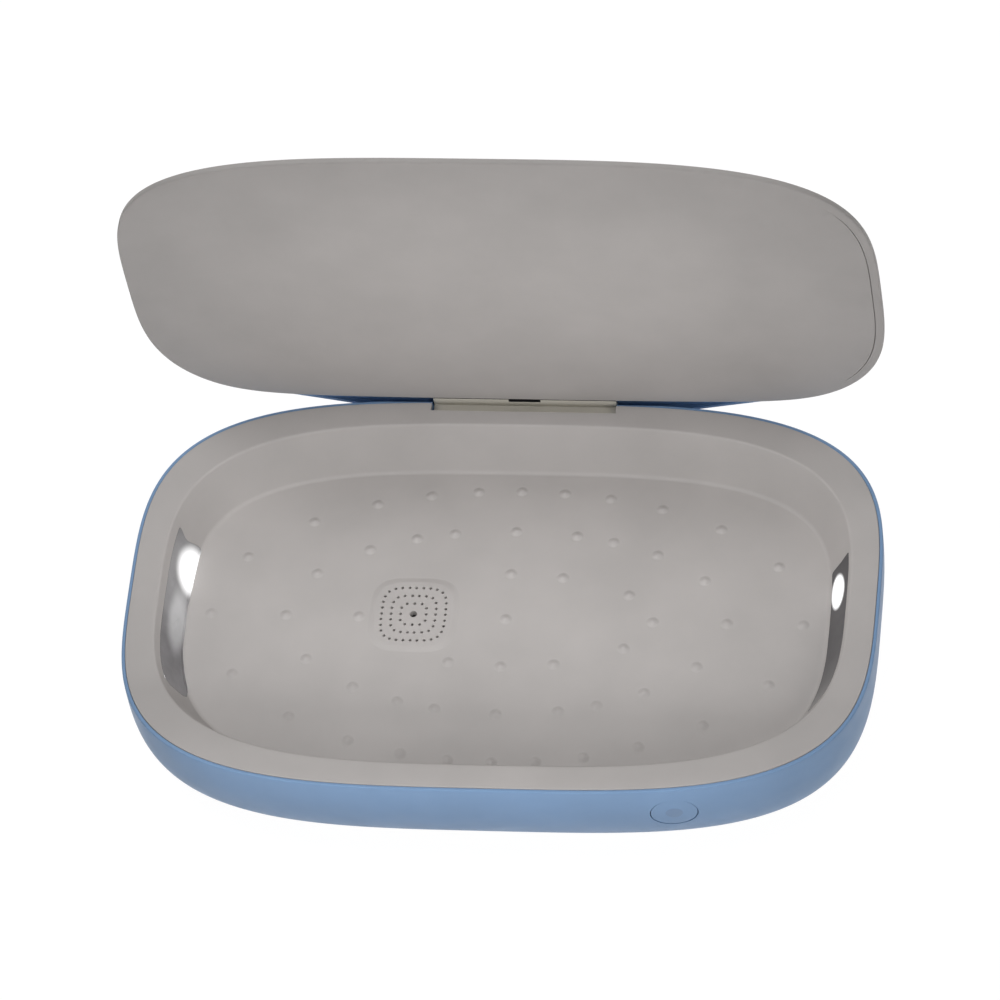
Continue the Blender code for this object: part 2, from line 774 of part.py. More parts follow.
def build_board():
    def slab(bm):
        profile = rounded_rect(0, (BOARD_Y[0] + BOARD_Y[1]) / 2, BOARD_HALF_X,
                               (BOARD_Y[1] - BOARD_Y[0]) / 2, 3 * MM, 3)
        add_prism(bm, profile, BOARD_Z, BOARD_Z + BOARD_THICK, lambda u, v, w: (u, v, w))
    board = piece("main_board", slab, BOARD_GREEN, smooth=False)

    def bores(bm):
        for x, y in pillar_spots():
            add_cylinder(bm, 1.2 * MM, BOARD_Z - MM, BOARD_Z + 3 * MM,
                         Matrix.Translation((x, y, 0)), 10)
    cut(board, cutter("board_bores", bores))

    mesh = screw_mesh("board_screw", 1.9 * MM, 0.85 * MM, 6.0 * MM, 0.9 * MM, 10)
    for index, (x, y) in enumerate(pillar_spots()):
        made = place("board_screw_%d" % (index + 1), mesh, None)
        made.location = (x, y, BOARD_Z + BOARD_THICK + FIT + 0.9 * MM)
        made.rotation_euler = (math.pi, 0, 0)

    top = BOARD_Z + BOARD_THICK + FIT
    mid = BOARD_Y[0] + 16 * MM
    chip = piece("control_chip", lambda bm: add_box(
        bm, (-14 * MM, mid - 4 * MM, top), (-6 * MM, mid + 4 * MM, top + 1.2 * MM)),
        CHIP_BLACK, False)
    bevelled(chip, 0.2 * MM)
    coil = piece("driver_coil", lambda bm: add_cylinder(
        bm, 4.0 * MM, top, top + 3.6 * MM, Matrix.Translation((14 * MM, mid, 0)), 20), COIL_GREY)
    bevelled(coil, 0.4 * MM)


def build_socket():
    """Metal sleeve of the power socket with its mouth to the rear and a tongue inside."""
    mid_z = RIM_Z - SOCKET_DROP
    front = BOARD_Y[1] - 2 * MM
    back = front + 2 * SOCKET_HALF[1]
    outer = rounded_rect(0, mid_z, SOCKET_HALF[0], SOCKET_HALF[2], 1.5 * MM)
    inner = rounded_rect(0, mid_z, SOCKET_HALF[0] - 0.3 * MM, SOCKET_HALF[2] - 0.3 * MM, 1.2 * MM)

    def sleeve(bm):
        rings = []
        for profile, w in ((outer, front), (outer, back), (inner, back), (inner, front + MM)):
            rings.append([(u, w, v) for u, v in profile])
        loft(bm, rings)
    piece("usb_socket", sleeve, STEEL)
    piece("socket_tongue", lambda bm: add_box(
        bm, (-3.2 * MM, front + MM + FIT, mid_z - 0.35 * MM),
        (3.2 * MM, back - 0.8 * MM, mid_z + 0.35 * MM)), CHIP_BLACK, smooth=False)


# button in its own frame: x across, y up the wall, z outwards


def button_frame():
    drop = RIM_Z - SHELL_BASE_Z
    inset = bowl_inset_at(BUTTON_DROP, drop)
    half_x = WIDTH / 2 - inset
    half_y = DEPTH / 2 - inset
    share = (BUTTON_X / half_x) ** OUTLINE_POWER
    y = -half_y * (1 - share) ** (1 / OUTLINE_POWER)
    small = 0.5 * MM
    slope = (bowl_inset_at(BUTTON_DROP + small, drop) - bowl_inset_at(BUTTON_DROP - small, drop))
    slope /= 2 * small
    turn = (half_y / half_x) * (BUTTON_X / half_x) ** (OUTLINE_POWER - 1)
    turn /= (abs(y) / half_y) ** (OUTLINE_POWER - 1)
    out = Vector((turn, -1.0, -slope)).normalized()
    across = Vector((0, 0, 1)).cross(-out).normalized() * -1
    up = out.cross(across).normalized()
    return frame_matrix((BUTTON_X, y, RIM_Z - BUTTON_DROP), across, up)


BUTTON = button_frame()
BOARD_IN = 7.3 * MM


def button_bore():
    """Hole for the cap, with a flat seat behind the wall for its stop lip."""
    hole = BUTTON_RADIUS + FIT
    seat = BUTTON_RADIUS + BUTTON_LIP_OUT + 0.4 * MM
    turns = ((hole, 5 * MM), (hole, -BUTTON_SEAT), (seat, -BUTTON_SEAT), (seat, -7 * MM))

    def build(bm):
        rings = [circle(0.0, 0.0, radius, height, 32) for radius, height in turns]
        loft(bm, [[BUTTON @ Vector(p) for p in points] for points in rings])
    return cutter("button_bore", build)


def button_ribs():
    def build(bm):
        for side in (-1, 1):
            a, b = sorted((side * 8.3 * MM, side * 9.5 * MM))
            add_box(bm, (a, -5.5 * MM, -8.6 * MM), (b, 3.0 * MM, -1.2 * MM), BUTTON)
    return cutter("button_ribs", build)


def wall_slice(name, radius, mat, sides=32):
    """Disc cut out of the bowl wall itself, so its face follows the wall."""
    outer = bowl_rings(0.0, SHELL_BASE_Z, BOWL_STEPS, first=1)[:5]
    inner = bowl_rings(WALL, SHELL_BASE_Z + WALL, BOWL_STEPS, first=1)[:5]
    made = lofted(name, outer + list(reversed(inner)), mat, closed=True)
    keep = cutter(name + "_keep", lambda bm: add_cylinder(
        bm, radius, -6 * MM, 5 * MM, BUTTON, sides))
    boolean(made, keep, "INTERSECT")
    return made


def build_button():
    cap = wall_slice("power_button", BUTTON_RADIUS, BLUE)
    lip_top = -BUTTON_SEAT - FIT

    def flange(bm):
        add_cylinder(bm, BUTTON_RADIUS - 0.5 * MM, lip_top - BUTTON_LIP, -1.2 * MM, BUTTON, 24)
    join(cap, cutter("button_flange", flange))

    def stop_lip(bm):
        add_cylinder(bm, BUTTON_RADIUS + BUTTON_LIP_OUT, lip_top - BUTTON_LIP, lip_top, BUTTON, 24)
    join(cap, cutter("button_lip", stop_lip))

    def post(bm):
        spot = BUTTON @ Matrix.Translation((0, -POST_DROP, 0))
        add_cylinder(bm, 1.3 * MM, -4.4 * MM, lip_top - 0.5 * MM, spot, 12)
    join(cap, cutter("button_post", post))
    cut(cap, cutter("guide_bore", lambda bm: add_cylinder(
        bm, GUIDE_RADIUS + FIT, -7 * MM, 5 * MM, BUTTON, 20)))
    guide = wall_slice("button_light_guide", GUIDE_RADIUS, GUIDE_CLEAR, 20)
    join(guide, cutter("guide_stem", lambda bm: add_cylinder(
        bm, GUIDE_RADIUS - 0.2 * MM, -4.6 * MM, -1.0 * MM, BUTTON, 20)))

    spot = BUTTON @ Matrix.Translation((0, -POST_DROP, 0))
    piece("switch_plunger", lambda bm: add_cylinder(
        bm, PLUNGER_RADIUS, -6.2 * MM, -4.7 * MM, spot, 12), PLUNGER_WHITE)
    half = SWITCH_SIZE / 2
    switch = piece("tact_switch", lambda bm: add_box(
        bm, (-half, -half, -BOARD_IN + FIT), (half, half, -5.3 * MM), spot), SWITCH_BLACK, False)
    cut(switch, cutter("switch_well", lambda bm: add_cylinder(
        bm, PLUNGER_RADIUS + FIT, -6.9 * MM, -4 * MM, spot, 12)))
    board = piece("button_board", lambda bm: add_box(
        bm, (-8 * MM, -6.6 * MM, -BOARD_IN - MM), (8 * MM, 3.2 * MM, -BOARD_IN), BUTTON),
        BOARD_BLACK, False)
    led = piece("indicator_led", lambda bm: add_box(
        bm, (-1.0 * MM, -0.6 * MM, -BOARD_IN + FIT), (1.0 * MM, 0.6 * MM, -BOARD_IN + 1.1 * MM),
        BUTTON), LED_WHITE, False)
    sensor = piece("lid_sensor", lambda bm: add_box(
        bm, (4.0 * MM, 0.2 * MM, -BOARD_IN + FIT), (7.0 * MM, 2.0 * MM, -BOARD_IN + 1.2 * MM),
        BUTTON), CHIP_BLACK, False)
    return board, led, sensor


# hinge and lid, modelled closed and turned open by the hinge empty


def build_pin():
    reach = NOTCH_HALF + EAR_LEN - 1.5 * MM
    pin = piece("hinge_pin", lambda bm: add_cylinder(
        bm, PIN_RADIUS, -reach, reach, pin_spot(), 16), STEEL)
    bevelled(pin, 0.25 * MM)
    return pin


def knuckle_profile():
    """Cross-section about the hinge axis with the lid closed, rearward and upward."""
    low = BAND_Z + LINER_THICK - HINGE_Z
    ledge = PANEL_Z - HINGE_Z
    front = CHORD_Y - HINGE_Y + FIT
    arm = NOTCH_FRONT_Y - HINGE_Y + FIT
    points = [(front, ledge), (front, low), (1.6 * MM, low), (1.8 * MM, ledge + 0.5 * MM),
              (3.0 * MM, 3.2 * MM), (3.3 * MM, 1.6 * MM)]
    for k in range(9):
        angle = math.radians(-20.0 - 27.5 * k)
        points.append((BOSS_RADIUS * math.cos(angle), BOSS_RADIUS * math.sin(angle)))
    points += [(arm, 2.0 * MM), (arm, ledge)]
    return points


def build_knuckle():
    def body(bm):
        add_prism(bm, knuckle_profile(), -KNUCKLE_HALF, KNUCKLE_HALF,
                  lambda u, v, w: (w, HINGE_Y + u, HINGE_Z + v))
    knuckle = piece("hinge_knuckle", body, KNUCKLE_GREY)
    bore = cutter("knuckle_bore", lambda bm: add_cylinder(
        bm, PIN_HOLE, -KNUCKLE_HALF - MM, KNUCKLE_HALF + MM, pin_spot(), 16))
    cut(knuckle, bore)

    def slot(bm):
        top = CHORD_Y + FIT
        add_box(bm, (-4.7 * MM, top - MM, PANEL_Z - MM), (4.7 * MM, top + 0.8 * MM, PANEL_Z + 1.2 * MM))
    cut(knuckle, cutter("knuckle_slot", slot))
    return knuckle


def chord_cutter(name, line_y):
    low = (-WIDTH, line_y, RIM_Z - 10 * MM)
    high = (WIDTH, line_y + 40 * MM, RIM_Z + 30 * MM)
    return cutter(name, lambda bm: add_box(bm, low, high))


def build_liner():
    back = BAND_Z + LINER_THICK
    edge = 0.25 * MM
    inset = PANEL_INSET
    rings = [lid_ring(0.0, back), lid_ring(0.0, BAND_Z + edge), lid_ring(edge, BAND_Z),
             lid_ring(inset, BAND_Z), lid_ring(inset + 0.1 * MM, PANEL_Z + 0.1 * MM),
             lid_ring(inset + edge, PANEL_Z)]
    liner = lofted("lid_liner", rings, LINER_GREY)
    cut(liner, chord_cutter("liner_chord", CHORD_Y))
    return liner


def lid_ring(inset, height):
    """Ring of the liner's outline, a little nearer the hinge than the middle of the base."""
    return shifted(ring(LID_HALF_X - inset, LID_HALF_Y - inset, height), LID_MID_Y)


def shell_ring(scale, height, inset=0.0):
    """Ring of the lid skin: inside the liner's edge, but level with it at the hinge."""
    half_x = (LID_HALF_X - LID_OVERHANG - inset) * scale
    half_y = (LID_HALF_Y - LID_OVERHANG / 2 - inset) * scale
    return shifted(ring(half_x, half_y, height), LID_MID_Y + LID_OVERHANG / 2)


def shifted(points, move_y):
    return [(x, y + move_y, z) for x, y, z in points]


def lid_level(scale):
    return LID_Z + LID_EDGE + LID_RISE * (1.0 - scale ** LID_POWER)


def build_lid_shell():
    edge = 0.3 * MM
    outer = [shell_ring(1.0, LID_Z, edge), shell_ring(1.0, LID_Z + 0.25 * MM)]
    for scale in (1.0, 0.95, 0.88, 0.78, 0.65, 0.5, 0.32, 0.12):
        outer.append(shell_ring(scale, lid_level(scale)))
    inner = [shell_ring(1.0, LID_Z, LID_LEDGE)]
    for scale in (0.85, 0.7, 0.45, 0.12):
        inner.append(shell_ring(scale, lid_level(scale) - LID_SKIN))
    shell = lofted("lid_shell", list(reversed(outer)) + inner, BLUE)
    join(shell, rear_skirt())
    return shell


def rear_skirt():
    """Lip under the rear edge of the lid skin that hides the gap at the hinge."""
    low = HINGE_Z + 3.0 * MM
    high = LID_Z + 0.2 * MM
    made = cutter("rear_skirt", lambda bm: loft(bm, [
        shell_ring(1.0, low, 0.05 * MM), shell_ring(1.0, high, 0.05 * MM),
        shell_ring(1.0, high, SKIRT_THICK), shell_ring(1.0, low, SKIRT_THICK)], closed=True))
    boolean(made, cutter("skirt_keep", lambda bm: add_box(
        bm, (-SKIRT_HALF, HINGE_Y - 3 * MM, low - MM),
        (SKIRT_HALF, DEPTH / 2 + 4 * MM, high + MM))), "INTERSECT")
    cut(made, cutter("skirt_clearance", lambda bm: add_cylinder(
        bm, SKIRT_CLEAR, -WIDTH / 2, WIDTH / 2, pin_spot(), 64)))
    return made


def build_magnet():
    low = BAND_Z + LINER_THICK + FIT
    front = LID_MID_Y - LID_HALF_Y + 17.5 * MM
    return piece("lid_magnet", lambda bm: add_box(
        bm, (BUTTON_X - 5 * MM, front, low), (BUTTON_X + 5 * MM, front + 5 * MM, low + 1.5 * MM)),
        MAGNET, smooth=False)


def hinge_empty():
    empty = bpy.data.objects.new("lid_axis", None)
    PARTS.objects.link(empty)
    empty.location = (0, HINGE_Y, HINGE_Z)
    empty.rotation_euler = (-math.radians(LID_OPEN_DEG), 0, 0)
    return empty


def hang_on(empty, names):
    back = Matrix.Translation(-empty.location)
    for name in names:
        item = bpy.data.objects[name]
        item.parent = empty
        item.matrix_parent_inverse = back


def button_empty():
    empty = bpy.data.objects.new("button_axis", None)
    PARTS.objects.link(empty)
    empty.location = BUTTON.translation
    return empty


def build_all():
    build_base_shell()
    build_pad()
    build_screws()
    build_tray()
    for side in (-1, 1):
        build_window(side)
        build_lamp_board(side)
    build_scent()
    build_board()
    build_socket()
    build_button()
    build_pin()
    build_knuckle()
    build_liner()
    build_lid_shell()
    build_magnet()
    hang_on(hinge_empty(), ("hinge_knuckle", "knuckle_bore", "knuckle_slot", "lid_liner",
                            "liner_chord", "lid_shell", "lid_magnet", "rear_skirt",
                            "skirt_keep", "skirt_clearance"))
    hang_on(button_empty(), ("power_button", "button_light_guide", "switch_plunger"))


build_all()
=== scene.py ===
import json
import math

import bmesh
import bpy
from mathutils import Matrix, Vector


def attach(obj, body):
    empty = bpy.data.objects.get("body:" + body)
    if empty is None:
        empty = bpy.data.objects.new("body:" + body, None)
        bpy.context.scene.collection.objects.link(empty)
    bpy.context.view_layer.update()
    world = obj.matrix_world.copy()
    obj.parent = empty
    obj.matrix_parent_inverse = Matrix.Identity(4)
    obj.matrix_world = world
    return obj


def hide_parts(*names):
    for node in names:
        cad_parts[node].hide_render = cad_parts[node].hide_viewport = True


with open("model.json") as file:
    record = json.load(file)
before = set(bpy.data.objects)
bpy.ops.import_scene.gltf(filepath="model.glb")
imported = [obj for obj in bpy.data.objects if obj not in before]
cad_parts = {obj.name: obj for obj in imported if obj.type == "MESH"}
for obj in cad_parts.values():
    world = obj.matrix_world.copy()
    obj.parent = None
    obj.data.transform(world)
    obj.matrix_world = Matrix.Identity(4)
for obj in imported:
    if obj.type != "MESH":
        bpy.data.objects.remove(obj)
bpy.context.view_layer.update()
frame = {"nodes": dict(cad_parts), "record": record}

MM = 0.001
FIT = 0.3 * MM
SHUT = 0.08 * MM
FINE = 384
SMOOTH_DEG = 35

# body and tray
WIDTH = 218.0 * MM
DEPTH = 138.0 * MM
RIM_Z = 37.0 * MM
OUTLINE_POWER = 3.5
BOWL_POWER = 3.0
BOWL_INSET = 26.0 * MM
WALL = 2.2 * MM
LIP = 1.0 * MM
LIP_DROP = 0.3 * MM
SHELL_BASE_Z = 1.3 * MM
FLANGE_THICK = 1.6 * MM
TRAY_WALL = 1.8 * MM
RIM_WIDTH = 9.0 * MM
BASIN_POWER = 3.3
BASIN_DRAFT = 6.3 * MM
END_DRAFT = 7.4 * MM
FLOOR_CREST = 12.0 * MM
FLOOR_FALL = 4.0 * MM
WALL_DEPTH = 14.0 * MM
FLOOR_START = BASIN_DRAFT + 4.5 * MM
BUMP_RADIUS = 1.65 * MM
BUMP_HEIGHT = 0.6 * MM
BUMP_STEP_DEG = 15
BUMP_SKIRT = 1.15 * BUMP_RADIUS
OUTER_RING = (86.3 * MM, 48.0 * MM)
SECOND_RING = (64.2 * MM, 32.3 * MM)
THIRD_RING = (42.8 * MM, 16.4 * MM)
BUMP_SHIFT_Y = -1.0 * MM
GRILLE_X = -27.0 * MM
GRILLE_RINGS = ((3.75 * MM, 12), (6.5 * MM, 22), (9.3 * MM, 32))
GRILLE_HOLE = 0.44 * MM
GRILLE_CENTRE_HOLE = 1.1 * MM
GRILLE_PAD = 12.0 * MM
GRILLE_PAD_RISE = 0.3 * MM
GRILLE_POWER = 3.6

# window strips, one value for the left (-1) and one for the right (1)
WINDOW_ENDS = {-1: (23.4 * MM, -32.0 * MM), 1: (17.8 * MM, -33.0 * MM)}
WINDOW_TOP = {-1: 2.8 * MM, 1: 1.5 * MM}
WINDOW_NOTCH = {-1: 2.4 * MM, 1: 0.5 * MM}
WINDOW_FOOT = {-1: 0.25 * MM, 1: 0.9 * MM}
WINDOW_THICK = 1.3 * MM

# hinge and lid
HINGE_Y = 65.4 * MM
HINGE_DROP = 4.0 * MM
HINGE_Z = RIM_Z - HINGE_DROP
LID_OPEN_DEG = 83.5
PIN_HOLE = 1.25 * MM
NOTCH_HALF = 27.3 * MM
NOTCH_FRONT_Y = 65.0 * MM
KNUCKLE_HALF = NOTCH_HALF - FIT
BOSS_RADIUS = 2.1 * MM
REAR_ROUND = 4.55 * MM
LID_HALF_X = 108.9 * MM
LID_HALF_Y = 68.0 * MM
LID_MID_Y = 0.7 * MM
LID_OVERHANG = 1.9 * MM
PANEL_STEP = 0.6 * MM
PANEL_INSET = 2.6 * MM
SEAM_HALF = 0.09 * MM
SEAM_DEPTH = 0.6 * MM
# where the seam starts to open in x and y, and the run over which it opens
SEAM_FROM = (94.0 * MM, -50.0 * MM)
SEAM_RUN = (9.0 * MM, 18.0 * MM)
CORNER_BLEND = 3.3 * MM
LINER_THICK = 1.2 * MM
CHORD_Y = HINGE_Y - 4.0 * MM
PANEL_Z = RIM_Z + FIT
BAND_Z = PANEL_Z + PANEL_STEP
LID_Z = BAND_Z + LINER_THICK + FIT
LID_EDGE = 0.6 * MM
LID_RISE = 9.6 * MM
LID_POWER = 2.2
LID_LEDGE = 8.0 * MM
LID_SKIN = 2.0 * MM
SKIRT_THICK = 1.1 * MM
SKIRT_CLEAR = REAR_ROUND + 0.35 * MM
SKIRT_FULL = 33.0 * MM
SKIRT_HALF = 67.0 * MM
SKIRT_LOW = HINGE_Z + 3.0 * MM
SKIRT_CURVE = 1.6
SLOT_HALF = 4.7 * MM
SLOT_DEEP = 1.3 * MM
SLOT_HIGH = 1.5 * MM

# button and power inlet
BUTTON_X = 54.4 * MM
BUTTON_DROP = 12.0 * MM
BUTTON_RADIUS = 6.6 * MM
BORE_GAP = 0.28 * MM
BORE_SHIFT = 0.25 * MM
# rows of the bowl's profile that the cap and its light guide are cut from
WALL_ROWS = 26
GUIDE_RADIUS = 2.45 * MM
SOCKET_HALF = (4.47 * MM, 1.6 * MM)
SOCKET_ROOM = 0.5 * MM
SOCKET_CORNER = 1.9 * MM
SOCKET_DROP = 21.9 * MM

# camera fitted to the outlines of the photograph
CAMERA_SPOT = (0.295152, -1.255078, 1.758128 + RIM_Z)
CAMERA_YAW = -0.228
CAMERA_PITCH = 0.926
CAMERA_ROLL = -0.165
SENSOR = 36.0
CAMERA_LENS = 7582.47 * SENSOR / 1000.0

# studio: soft lamps aimed at the object, and fills for the light between lid and basin
SOFT_LAMPS = (
    ("top_left_light", (-0.5, 0.0, 1.25), 6.3),
    ("top_right_light", (0.5, 0.0, 1.25), 2.9),
    ("front_light", (0.8, -0.8, 0.8), 3.1),
    ("rear_left_light", (-0.6, 0.5, 1.1), 1.2),
    ("rear_light", (0.0, 1.3, 0.4), 4.0),
)
FILL_LAMPS = (
    ("basin_fill", (0.0, -0.052, 0.088), (0.0, 0.06, 0.12), (0.17, 0.04), 0.085),
    ("wall_fill", (0.0, -0.10, 0.055), (0.0, 0.07, 0.07), (0.2, 0.04), 0.032),
)
WORLD_STRENGTH = 0.09
GLOW_STRENGTH = 1.05
GLOW_SHARE = 0.93


def linear(channel):
    value = channel / 255.0
    if value <= 0.04045:
        return value / 12.92
    return ((value + 0.055) / 1.055) ** 2.4


def colour(rgb):
    return [linear(c) for c in rgb] + [1.0]


# materials


def base_material(name):
    made = bpy.data.materials.new(name)
    made.use_nodes = True
    tree = made.node_tree
    return made, tree, tree.nodes["Principled BSDF"]


def joined(tree, operation, first, second):
    """Math node on two sockets, or on a socket and a number."""
    made = tree.nodes.new("ShaderNodeMath")
    made.operation = operation
    for held, value in zip(made.inputs, (first, second)):
        if isinstance(value, float):
            held.default_value = value
        else:
            tree.links.new(value, held)
    return made.outputs[0]


def noise(tree, scale, detail=3.0, rough=0.5):
    coords = tree.nodes.new("ShaderNodeTexCoord")
    made = tree.nodes.new("ShaderNodeTexNoise")
    made.inputs["Scale"].default_value = scale
    made.inputs["Detail"].default_value = detail
    made.inputs["Roughness"].default_value = rough
    tree.links.new(coords.outputs["Object"], made.inputs["Vector"])
    return made.outputs["Fac"]


def spread(tree, source, low, high):
    """Stretches a noise to a range of values."""
    made = tree.nodes.new("ShaderNodeMapRange")
    made.inputs["From Min"].default_value = 0.3
    made.inputs["From Max"].default_value = 0.7
    made.inputs["To Min"].default_value = low
    made.inputs["To Max"].default_value = high
    tree.links.new(source, made.inputs["Value"])
    return made.outputs["Result"]


def two_tone(tree, source, first, second):
    ramp = tree.nodes.new("ShaderNodeValToRGB")
    ramp.color_ramp.elements[0].position = 0.32
    ramp.color_ramp.elements[0].color = first
    ramp.color_ramp.elements[1].position = 0.68
    ramp.color_ramp.elements[1].color = second
    tree.links.new(source, ramp.inputs["Fac"])
    return ramp.outputs["Color"]


def bump(tree, shader, source, strength, distance):
    made = tree.nodes.new("ShaderNodeBump")
    made.inputs["Strength"].default_value = strength
    made.inputs["Distance"].default_value = distance
    tree.links.new(source, made.inputs["Height"])
    tree.links.new(made.outputs["Normal"], shader.inputs["Normal"])


def shade(rgb, share):
    return colour([min(255.0, c * share) for c in rgb])


def plastic(name, rgb, rough, change=0.02, grain=3200.0, depth=0.012 * MM, specular=0.4):
    """Moulded plastic: faint colour drift, spark-eroded grain and uneven gloss."""
    made, tree, shader = base_material(name)
    drift = noise(tree, 38.0, 4.0)
    tone = two_tone(tree, drift, shade(rgb, 1.0 - change), shade(rgb, 1.0 + change))
    tree.links.new(tone, shader.inputs["Base Color"])
    gloss = spread(tree, noise(tree, 160.0, 3.0), rough - 0.04, rough + 0.04)
    tree.links.new(gloss, shader.inputs["Roughness"])
    shader.inputs["Specular IOR Level"].default_value = specular
    bump(tree, shader, noise(tree, grain, 2.0, 0.6), 0.35, depth)
    return made


def metal(name, rgb, rough, grain=900.0):
    """Plain metal with uneven tone and gloss."""
    made, tree, shader = base_material(name)
    drift = noise(tree, 220.0, 3.0)
    tone = two_tone(tree, drift, shade(rgb, 0.95), shade(rgb, 1.03))
    tree.links.new(tone, shader.inputs["Base Color"])
    gloss = spread(tree, noise(tree, grain, 2.0), rough * 0.8, rough * 1.25)
    tree.links.new(gloss, shader.inputs["Roughness"])
    shader.inputs["Metallic"].default_value = 1.0
    return made


def mirror_with_painted_highlight(name, rgb, painted_highlights):
    """Coated strip with white emission patches that are painted highlights, set where the strip
    shows glare.

    A painted highlight is its middle and its two radii in mm, its tilt, the levels between which
    it fades in, and its strength.
    """
    made = metal(name, rgb, 0.09, 300.0)
    tree = made.node_tree
    shader = tree.nodes["Principled BSDF"]
    coords = tree.nodes.new("ShaderNodeTexCoord")
    total = None
    # each entry paints a highlight of white emission onto the strip
    for spot, radii, tilt, low, high, power in painted_highlights:
        near = tree.nodes.new("ShaderNodeMapping")
        near.vector_type = "TEXTURE"
        near.inputs["Location"].default_value = [c * MM for c in spot]
        near.inputs["Rotation"].default_value = (tilt, 0.0, 0.0)
        near.inputs["Scale"].default_value = (1.0, radii[0] * MM, radii[1] * MM)
        ball = tree.nodes.new("ShaderNodeTexGradient")
        ball.gradient_type = "SPHERICAL"
        level = tree.nodes.new("ShaderNodeMapRange")
        level.interpolation_type = "SMOOTHSTEP"
        level.inputs["From Min"].default_value = low
        level.inputs["From Max"].default_value = high
        level.inputs["To Max"].default_value = power
        tree.links.new(coords.outputs["Object"], near.inputs["Vector"])
        tree.links.new(near.outputs["Vector"], ball.inputs["Vector"])
        tree.links.new(ball.outputs["Fac"], level.inputs["Value"])
        if total is None:
            total = level.outputs["Result"]
        else:
            total = joined(tree, "ADD", total, level.outputs["Result"])
    shader.inputs["Emission Color"].default_value = (1.0, 1.0, 1.0, 1.0)
    tree.links.new(total, shader.inputs["Emission Strength"])
    return made


BLUE = plastic("blue_plastic", (120, 151, 188), 0.46)
TRAY = plastic("tray_plastic", (177, 173, 171), 0.55)
LINER = plastic("liner_plastic", (170, 166, 164), 0.56)
KNUCKLE = plastic("knuckle_plastic", (200, 196, 186), 0.5)
# both strips carry painted highlights: white emission patches where the strips show glare
MIRRORS = {
    # the left strip is given a lighter tone than the right one, painted brightness where the left
    # end wall faces the light
    -1: mirror_with_painted_highlight("window_left", (173, 174, 178), [
        ((-95, 13.0, 25.6), (10.5, 7.5), 0.0, 0.05, 0.5, 1.0),
        ((-95, -6.0, 28.0), (14.0, 5.0), 0.0, 0.0, 0.6, 0.2),
        ((-95, 9.0, 31.0), (26.0, 14.0), 0.0, 0.0, 0.8, 0.12)]),
    1: mirror_with_painted_highlight("window_right", (112, 113, 117), [
        ((95, 7.8, 29.6), (8.65, 5.0), -0.225, 0.16, 0.36, 1.0)]),
}
GUIDE = plastic("guide_plastic", (110, 138, 173), 0.4, 0.015, specular=0.5)
SILICONE = plastic("pad_silicone", (58, 60, 64), 0.8, 0.05, 1600.0, 0.04 * MM)
STEEL = metal("bright_steel", (178, 178, 180), 0.28)
ZINC = metal("zinc_plate", (128, 129, 132), 0.4)
NICKEL = metal("nickel_plate", (168, 166, 160), 0.22)
BOARD_GREEN = plastic("board_green", (34, 92, 58), 0.45, 0.08, 1200.0)
BOARD_WHITE = plastic("board_white", (222, 222, 216), 0.45)
BOARD_BLACK = plastic("board_black", (38, 42, 44), 0.5, 0.06)
CHIP = plastic("chip_black", (28, 28, 30), 0.6, 0.05)
COIL = plastic("coil_ferrite", (70, 68, 66), 0.7, 0.08, 1800.0, 0.05 * MM)
SWITCH_AND_SLOT_SHADE = plastic("switch_black", (34, 34, 36), 0.5, 0.05)
WHITE = plastic("white_plastic", (226, 224, 218), 0.45)
# the felt pad under the grille is given a dark tone as painted shade, so that the grille holes
# read dark
FELT_PAINTED_SHADE = plastic("felt", (62, 60, 58), 0.95, 0.05, 2600.0, 0.3 * MM)
CERAMIC = plastic("lamp_ceramic", (224, 214, 188), 0.35)

NODE_LOOKS = {
    "shell_blue": BLUE, "tray_grey": TRAY, "liner_grey": LINER, "knuckle_grey": KNUCKLE,
    "window_mirror": MIRRORS[1], "silicone_dark": SILICONE, "steel_bright": STEEL,
    "screw_steel": ZINC, "board_green": BOARD_GREEN, "board_black": BOARD_BLACK,
    "board_white": BOARD_WHITE, "chip_black": CHIP, "coil_grey": COIL,
    "switch_black": SWITCH_AND_SLOT_SHADE, "plunger_white": WHITE, "guide_frost": GUIDE,
    "cup_white": WHITE, "felt_white": FELT_PAINTED_SHADE, "magnet_nickel": NICKEL,
    "lamp_ceramic": CERAMIC, "led_white": WHITE,
}


def dress_nodes():
    """Gives each solid the look of its material slot."""
    slots = {entry["node"]: entry["material_slot"] for entry in frame["record"]["subparts"]}
    for name, item in frame["nodes"].items():
        look = NODE_LOOKS[slots[name]]
        if not item.material_slots:
            item.data.materials.append(look)
        for held in item.material_slots:
            held.material = look


# mesh helpers


def mesh_from(name, build, angle=SMOOTH_DEG):
    bm = bmesh.new()
    build(bm)
    bmesh.ops.recalc_face_normals(bm, faces=bm.faces)
    mesh = bpy.data.meshes.new(name)
    bm.to_mesh(mesh)
    bm.free()
    mesh.shade_smooth()
    mesh.set_sharp_from_angle(angle=math.radians(angle))
    return mesh


def place(name, data, look=None):
    made = bpy.data.objects.new(name, data)
    bpy.context.scene.collection.objects.link(made)
    if look is not None:
        data.materials.append(look)
    return made


def signed_power(value, power):
    return math.copysign(abs(value) ** power, value)


def outline(half_x, half_y, power=OUTLINE_POWER, count=FINE):
    """Superellipse round the origin."""
    points = []
    for i in range(count):
        t = 2.0 * math.pi * i / count
        points.append((half_x * signed_power(math.cos(t), 2.0 / power),
                       half_y * signed_power(math.sin(t), 2.0 / power)))
    return points


def ring(half_x, half_y, height, power=OUTLINE_POWER, count=FINE):
    """Outline at one height, or at the height that a function gives for each point."""
    level = height if callable(height) else (lambda x, y: height)
    return [(x, y, level(x, y)) for x, y in outline(half_x, half_y, power, count)]


def circle(x, y, radius, height, sides):
    return [(x + radius * math.cos(2 * math.pi * i / sides),
             y + radius * math.sin(2 * math.pi * i / sides), height) for i in range(sides)]


